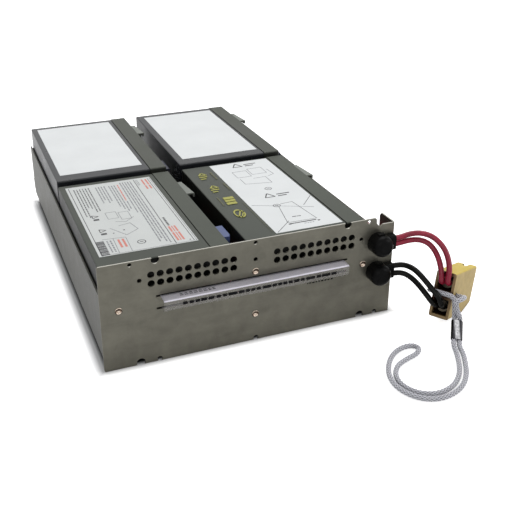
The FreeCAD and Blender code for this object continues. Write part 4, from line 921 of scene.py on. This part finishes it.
def print_front_left():
    """A silver label: rows of dashes, plain frames, red blocks and thin outlines."""
    dice = Random(11)
    wide, deep, corner = label_face("battery_label_front_left")
    dark = level_marks("print_dark_left", corner)
    soft = level_marks("print_soft_left", corner)
    red = level_marks("print_red_left", corner)

    dark.line((2.2, 2.0), (2.2, deep - 0.6), 0.5)
    dark.line((wide - 2.6, 3.0), (wide - 2.6, deep - 1.4), 0.45)
    soft.line((wide - 0.9, 2.0), (wide - 0.9, deep - 0.6), 0.35)
    soft.line((2.2, deep - 1.2), (wide - 0.9, deep - 1.2), 0.35)
    divider = wide - 15.0
    dark.line((divider + 0.6, 2.6), (divider - 0.8, deep - 1.2), 0.55)

    # the wide panel on the right: plain red blocks and one short row
    for start, size in ((4.0, 12.0), (17.4, 8.2)):
        red.bar(wide - 8.6, start + size, wide - 7.2, start)
        red.bar(wide - 5.4, start + size, wide - 4.0, start)
    for start, size in ((100.6, 9.6), (111.6, 13.6)):
        red.bar(wide - 13.8, start + size, wide - 12.4, start)
        red.bar(wide - 11.4, start + size, wide - 10.6, start)
        red.bar(wide - 9.6, start + size, wide - 8.2, start)
    dark.row((divider + 2.6, 84.0), (divider + 2.6, 99.0), 1.5, dice, 2.6, 0.7)
    dark.bar(wide - 5.4, deep - 3.0, wide - 4.6, deep - 4.2)
    soft.row((divider + 1.9, 4.0), (divider + 1.9, 19.0), 0.6, dice, 3.0)
    soft.row((divider + 3.2, 4.0), (divider + 3.2, 16.0), 0.6, dice, 3.0)

    # small print beside the divider
    soft.column(divider - 2.9, 4.5, 2.15, 1.0, (122.0, 120.0, 113.0, 118.0, 64.0), 0.95, dice, 6.0)
    red.row((divider - 14.4, 8.0), (divider - 15.2, 42.0), 1.0, dice, 6.0, 0.7)
    soft.row((divider - 14.9, 44.0), (divider - 15.4, 60.0), 0.9, dice, 5.0, 0.8)
    soft.column(divider - 17.2, 8.0, 2.2, 0.4, (56.0, 50.0, 44.0), 0.9, dice, 5.0)
    soft.column(divider - 25.4, 7.0, 2.3, 0.3, (32.0, 36.0, 30.0, 34.0), 0.95, dice, 5.0)
    dark.column(17.6, 6.0, 2.35, 0.3, (50.0, 52.0, 44.0, 40.0, 60.0, 56.0), 0.85, dice, 4.0, 0.9)

    # thin outlines in the open field
    soft.frame(19.5, 72.0, 27.5, 60.0, 0.4)
    soft.frame(29.0, 76.0, 36.5, 62.5, 0.4)
    soft.path(0.4, (23.5, 78.0), (31.0, 80.5), (38.5, 74.0))
    soft.path(0.45, (17.0, 88.0), (26.0, 103.0), (36.0, 96.0), (33.0, 84.0), (24.0, 86.0))
    dark.bar(25.4, 95.0, 26.6, 93.6)
    dark.bar(17.2, 97.5, 18.2, 96.5)
    for start in (61.5, 87.5):
        dark.path(0.7, (9.0, start), (13.6, start + 2.6), (9.0, start + 5.2), (9.0, start))
        dark.bar(8.8, start + 9.8, 13.0, start + 7.0)

    # the dark striped block, the small cells and the ringed spot at the near edge
    for number in range(13):
        v = 107.2 + 1.72 * number
        dark.bar(1.9, v + dice.uniform(1.0, 1.5), 7.9, v)
    soft.path(0.4, (7.4, 104.6), (24.2, 106.2), (23.4, deep - 1.6))
    soft.line((15.2, 105.4), (14.4, deep - 1.6), 0.4)
    for u in (12.6, 10.2):
        soft.row((u, 108.0), (u, deep - 4.0), 1.1, dice, 3.0, 0.9)
    red.bar(17.4, 121.4, 19.0, 108.2)
    red.bar(20.6, 121.4, 22.2, 108.2)
    dark.ring(32.9, deep - 12.8, 3.2, 0.7)
    dark.bar(31.7, deep - 12.4, 34.1, deep - 13.3)

    dark.done(DARK_INK, "label_film")
    soft.done(SOFT_INK, "label_film")
    red.done(RED_INK, "label_film")


def print_front_right(dice):
    """A white label with thin outlines and a few bars."""
    deep, corner = label_face("battery_label_front_right")[1:]
    dark = level_marks("print_dark_right", corner)
    soft = level_marks("print_soft_right", corner)

    # two open triangles, each with two bars beside it
    for start in (3.4, 74.8):
        dark.path(1.0, (18.0, start + 7.6), (22.2, start),
                  (26.4, start + 7.6), (18.0, start + 7.6))
        dark.bar(29.0, start + 4.6, 40.0, start + 3.2)
        dark.bar(29.0, start + 8.0, 36.6, start + 6.6)
    soft.frame(13.0, 35.0, 25.5, 21.5, 0.45)
    soft.frame(27.5, 32.0, 40.5, 18.5, 0.45)
    soft.path(0.45, (14.0, 38.5), (14.0, 50.0), (36.0, 54.0), (36.0, 40.0), (25.0, 40.5))
    soft.path(0.45, (38.5, 40.0), (45.0, 36.5), (43.5, 24.0))
    dark.ring(27.6, 65.5, 3.0, 0.55, squash=0.9)
    dark.bar(26.3, 65.9, 28.9, 65.2)
    dark.ring(20.2, 99.4, 3.1, 0.55, squash=0.9)
    dark.ring(20.2, 99.4, 1.2, 0.6, squash=0.9)
    soft.line((2.2, 92.0), (46.0, 112.0), 0.4)
    dark.path(0.4, (20.6, 103.0), (15.0, 131.0), (38.5, 131.5), (34.4, 96.6), (24.0, 97.6))
    dark.line((1.4, deep - 0.8), (17.0, deep - 16.0), 0.45)
    dark.line((52.8, 91.0), (40.0, 106.0), 0.45)
    dark.bar(15.8, deep - 10.4, 37.0, deep - 11.7)
    dark.bar(14.6, deep - 9.8, 16.6, deep - 11.4)
    dark.bar(37.6, deep - 8.6, 39.4, deep - 10.2)
    dark.row((22.6, deep - 22.0), (29.4, deep - 21.4), 1.0, dice, 3.4, 0.5)
    soft.row((26.0, deep - 8.2), (34.0, deep - 8.0), 0.7, dice, 2.0, 0.6)
    dark.done(DARK_INK, "label_film")
    soft.done(SOFT_INK, "label_film")


def print_front_lid(dice):
    """Plain yellow blocks and outlines on the bare strip of lid beside the white label."""
    top = (0.0, 0.0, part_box("battery_lid_front_right")[1][2])
    bright = level_marks("print_yellow_right", top)
    dim = level_marks("print_dim_right", top)
    for start in (12.4, 41.8):
        bright.path(1.4, (4.6, start + 6.0), (11.4, start + 6.0), (8.0, start + 0.6),
                    (4.6, start + 6.0))
        bright.bar(3.8, start + 10.4, 10.8, start + 8.6)
        bright.bar(3.8, start + 14.6, 8.6, start + 12.8)
    bright.bar(7.0, 73.4, 15.4, 69.0)
    bright.bar(6.6, 78.2, 15.0, 74.4)
    bright.bar(6.2, 83.6, 14.4, 79.4)
    bright.ring(8.8, 102.0, 4.3, 1.1, squash=1.75)
    bright.line((6.2, 108.0), (11.6, 96.0), 1.1)
    bright.line((8.2, 109.0), (13.0, 99.0), 0.9)
    dim.row((16.4, 14.0), (16.6, 31.0), 1.7, dice, 2.6, 0.9)
    dim.row((18.4, 40.0), (18.8, 57.0), 1.5, dice, 2.6, 0.9)
    dim.row((3.2, 67.0), (3.0, 84.0), 1.1, dice, 2.0, 0.6)
    dim.row((18.6, 84.0), (19.0, 140.0), 0.5, dice, 3.0, 1.2)
    bright.done(YELLOW_INK, "lid_plastic")
    dim.done(DIM_INK, "lid_plastic")


def print_strap():
    """Plain dark blocks on the strap's shelf and face, where a real strap has its notice."""
    dice = Random(5)
    shelf = level_marks("print_strap_shelf",
                        (0.0, 0.0, SHELF_Z + FILM_THICK / 2 + PRINT_GAP))
    at = -57.4
    while at < -33.0:
        wide = dice.uniform(1.9, 2.7)
        shelf.bar(at, 160.0, at + wide, 159.2)
        shelf.bar(at + 0.2, 158.2, at + wide - 0.2, 157.4)
        at += wide + 0.9
    shelf.done(STRAP_INK, "clear_film")
    ahead = FRONT_Y - FILM_THICK / 2 - FACE_GAP
    face = upright_marks("print_strap_face", ahead)
    at = -56.8
    while at < 57.0:
        wide = dice.choice((3.0, 4.2, 6.4))
        face.bar(at, 46.7, at + wide, 48.9)
        at += wide + dice.choice((1.1, 1.1, 1.7))
    face.done(STRAP_INK, "clear_film")
    small = upright_marks("print_strap_small", ahead)
    small.row((36.0, 43.7), (58.0, 43.7), 1.0, dice, 2.2, 0.8, 0.9)
    small.done(STRAP_INK, "clear_film")


right_dice = Random(23)
print_front_left()
print_front_right(right_dice)
print_front_lid(right_dice)
print_strap()


# ------------------------------------------------------------------ eyelets

# the rivets' middles in X and Z, and a cup's radii and depths behind the plate's face in mm
EYELETS = ((-0.0993, 0.0457), (0.0, 0.0562), (0.0, 0.0216), (0.0864, 0.0450))
CUP = ((2.60, 0.02), (2.58, -0.30), (2.40, -0.46), (2.10, -0.47), (1.85, -0.36),
       (1.62, -0.05), (1.38, 0.45), (1.05, 0.90), (0.60, 1.15))
CUP_BOTTOM = 1.22
CUP_BACK = 1.9
CUP_STEPS = 32


def eyelets():
    """Pressed eyelets: a rolled rim round a dished middle, one for each rivet."""
    mesh = bmesh.new()
    for x, z in EYELETS:
        rings = []
        for radius, depth in CUP:
            rings.append([mesh.verts.new((x + radius * MM * across, PLATE_FACE + depth * MM,
                                          z + radius * MM * up))
                          for across, up in circle(CUP_STEPS)])
        tube(mesh, rings)
        fan(mesh, rings[-1], mesh.verts.new((x, PLATE_FACE + CUP_BOTTOM * MM, z)))
        fan(mesh, rings[0], mesh.verts.new((x, PLATE_FACE + CUP_BACK * MM, z)))
    return mesh_object("eyelet_cups", mesh)


cups = settle(eyelets(), EYELET)
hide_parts("plate_rivets")


# ------------------------------------------------------------------ floor and light

FLOOR_HALF = 9.0
FLOOR_DROP = 0.0002

# the floor's glow, its share in mirrors, and how far outside the tray it starts and is full
GLOW = 0.78
GLOW_MIRRORED = 0.3
GLOW_SPAN = (0.001, 0.007)


def beyond(look, letter, low, high):
    """How far a point lies outside a stretch of one axis, and below nothing inside it."""
    off = look.maths("SUBTRACT", look.axis(letter), (low + high) / 2)
    return look.maths("SUBTRACT", look.maths("ABSOLUTE", off), (high - low) / 2)


def floor_material():
    """A white floor, with painted shade under the tray, glowing from a few millimetres outside it.
    """
    look = Look("floor")
    low, high = (Vector(corner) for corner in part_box("tray"))
    distance = look.maths("MAXIMUM", beyond(look, "X", low.x, high.x),
                          beyond(look, "Y", low.y, high.y))
    fleck = look.noise(6.0, 3.0, 0.5)
    tone = look.ramp(fleck, (0.80, 0.80, 0.80), (0.82, 0.82, 0.82))
    # painted shade: the floor is dark under the tray
    under = look.span(distance, -0.003, 0.0, 1.0, 0.0)
    look.set(base_color=look.blend(under, tone, (0.04, 0.04, 0.04)), roughness=0.9,
             emission_color=(1.0, 1.0, 1.0),
             emission_strength=look.maths("MULTIPLY", look.seen(GLOW_MIRRORED),
                                          look.span(distance, *GLOW_SPAN, 0.0, GLOW)))
    look.plain("Specular IOR Level", 0.0)
    return look.material


floor_data = bpy.data.meshes.new("floor")
floor_data.from_pydata([(FLOOR_HALF * x, FLOOR_HALF * y, 0.0)
                        for x, y in ((-1, -1), (1, -1), (1, 1), (-1, 1))], [], [(0, 1, 2, 3)])
floor = bpy.data.objects.new("floor", floor_data)
floor.location.z = -FLOOR_DROP
bpy.context.scene.collection.objects.link(floor)
floor.data.materials.append(floor_material())


def studio():
    """A white world for the eye and for mirrors, and a dimmer one that lights the object."""
    world = bpy.data.worlds.new("studio")
    bpy.context.scene.world = world
    world.use_nodes = True
    sky = Graph(world.node_tree)
    mixer = sky.add("ShaderNodeMixShader")
    sky.link(sky.seen(1.0), mixer.inputs[0])
    for place, tint, strength in ((1, (0.97, 0.98, 1.0), 0.45), (2, (1.0, 1.0, 1.0), 1.0)):
        light = sky.add("ShaderNodeBackground")
        sky.feed(light.inputs["Color"], tint)
        sky.feed(light.inputs["Strength"], strength)
        sky.link(light.outputs[0], mixer.inputs[place])
    sky.link(mixer.outputs[0], sky.add("ShaderNodeOutputWorld").inputs[0])


def lamp(name, spot, target, size, power):
    data = bpy.data.lights.new(name, "AREA")
    data.shape = "RECTANGLE"
    data.size, data.size_y = size
    data.energy = power
    thing = bpy.data.objects.new(name, data)
    bpy.context.scene.collection.objects.link(thing)
    thing.location = spot
    aim = Vector(target) - Vector(spot)
    thing.rotation_euler = aim.to_track_quat("-Z", "Y").to_euler()


studio()
lamp("top_box", (0.25, 0.45, 1.5), (0.0, 0.0, 0.0), (1.4, 1.0), 14.0)
lamp("right_box", (1.3, -0.9, 0.9), (0.0, -0.1, 0.05), (0.8, 0.8), 6.0)
lamp("front_box", (-0.9, -1.4, 1.0), (0.0, -0.1, 0.05), (1.2, 0.8), 4.0)
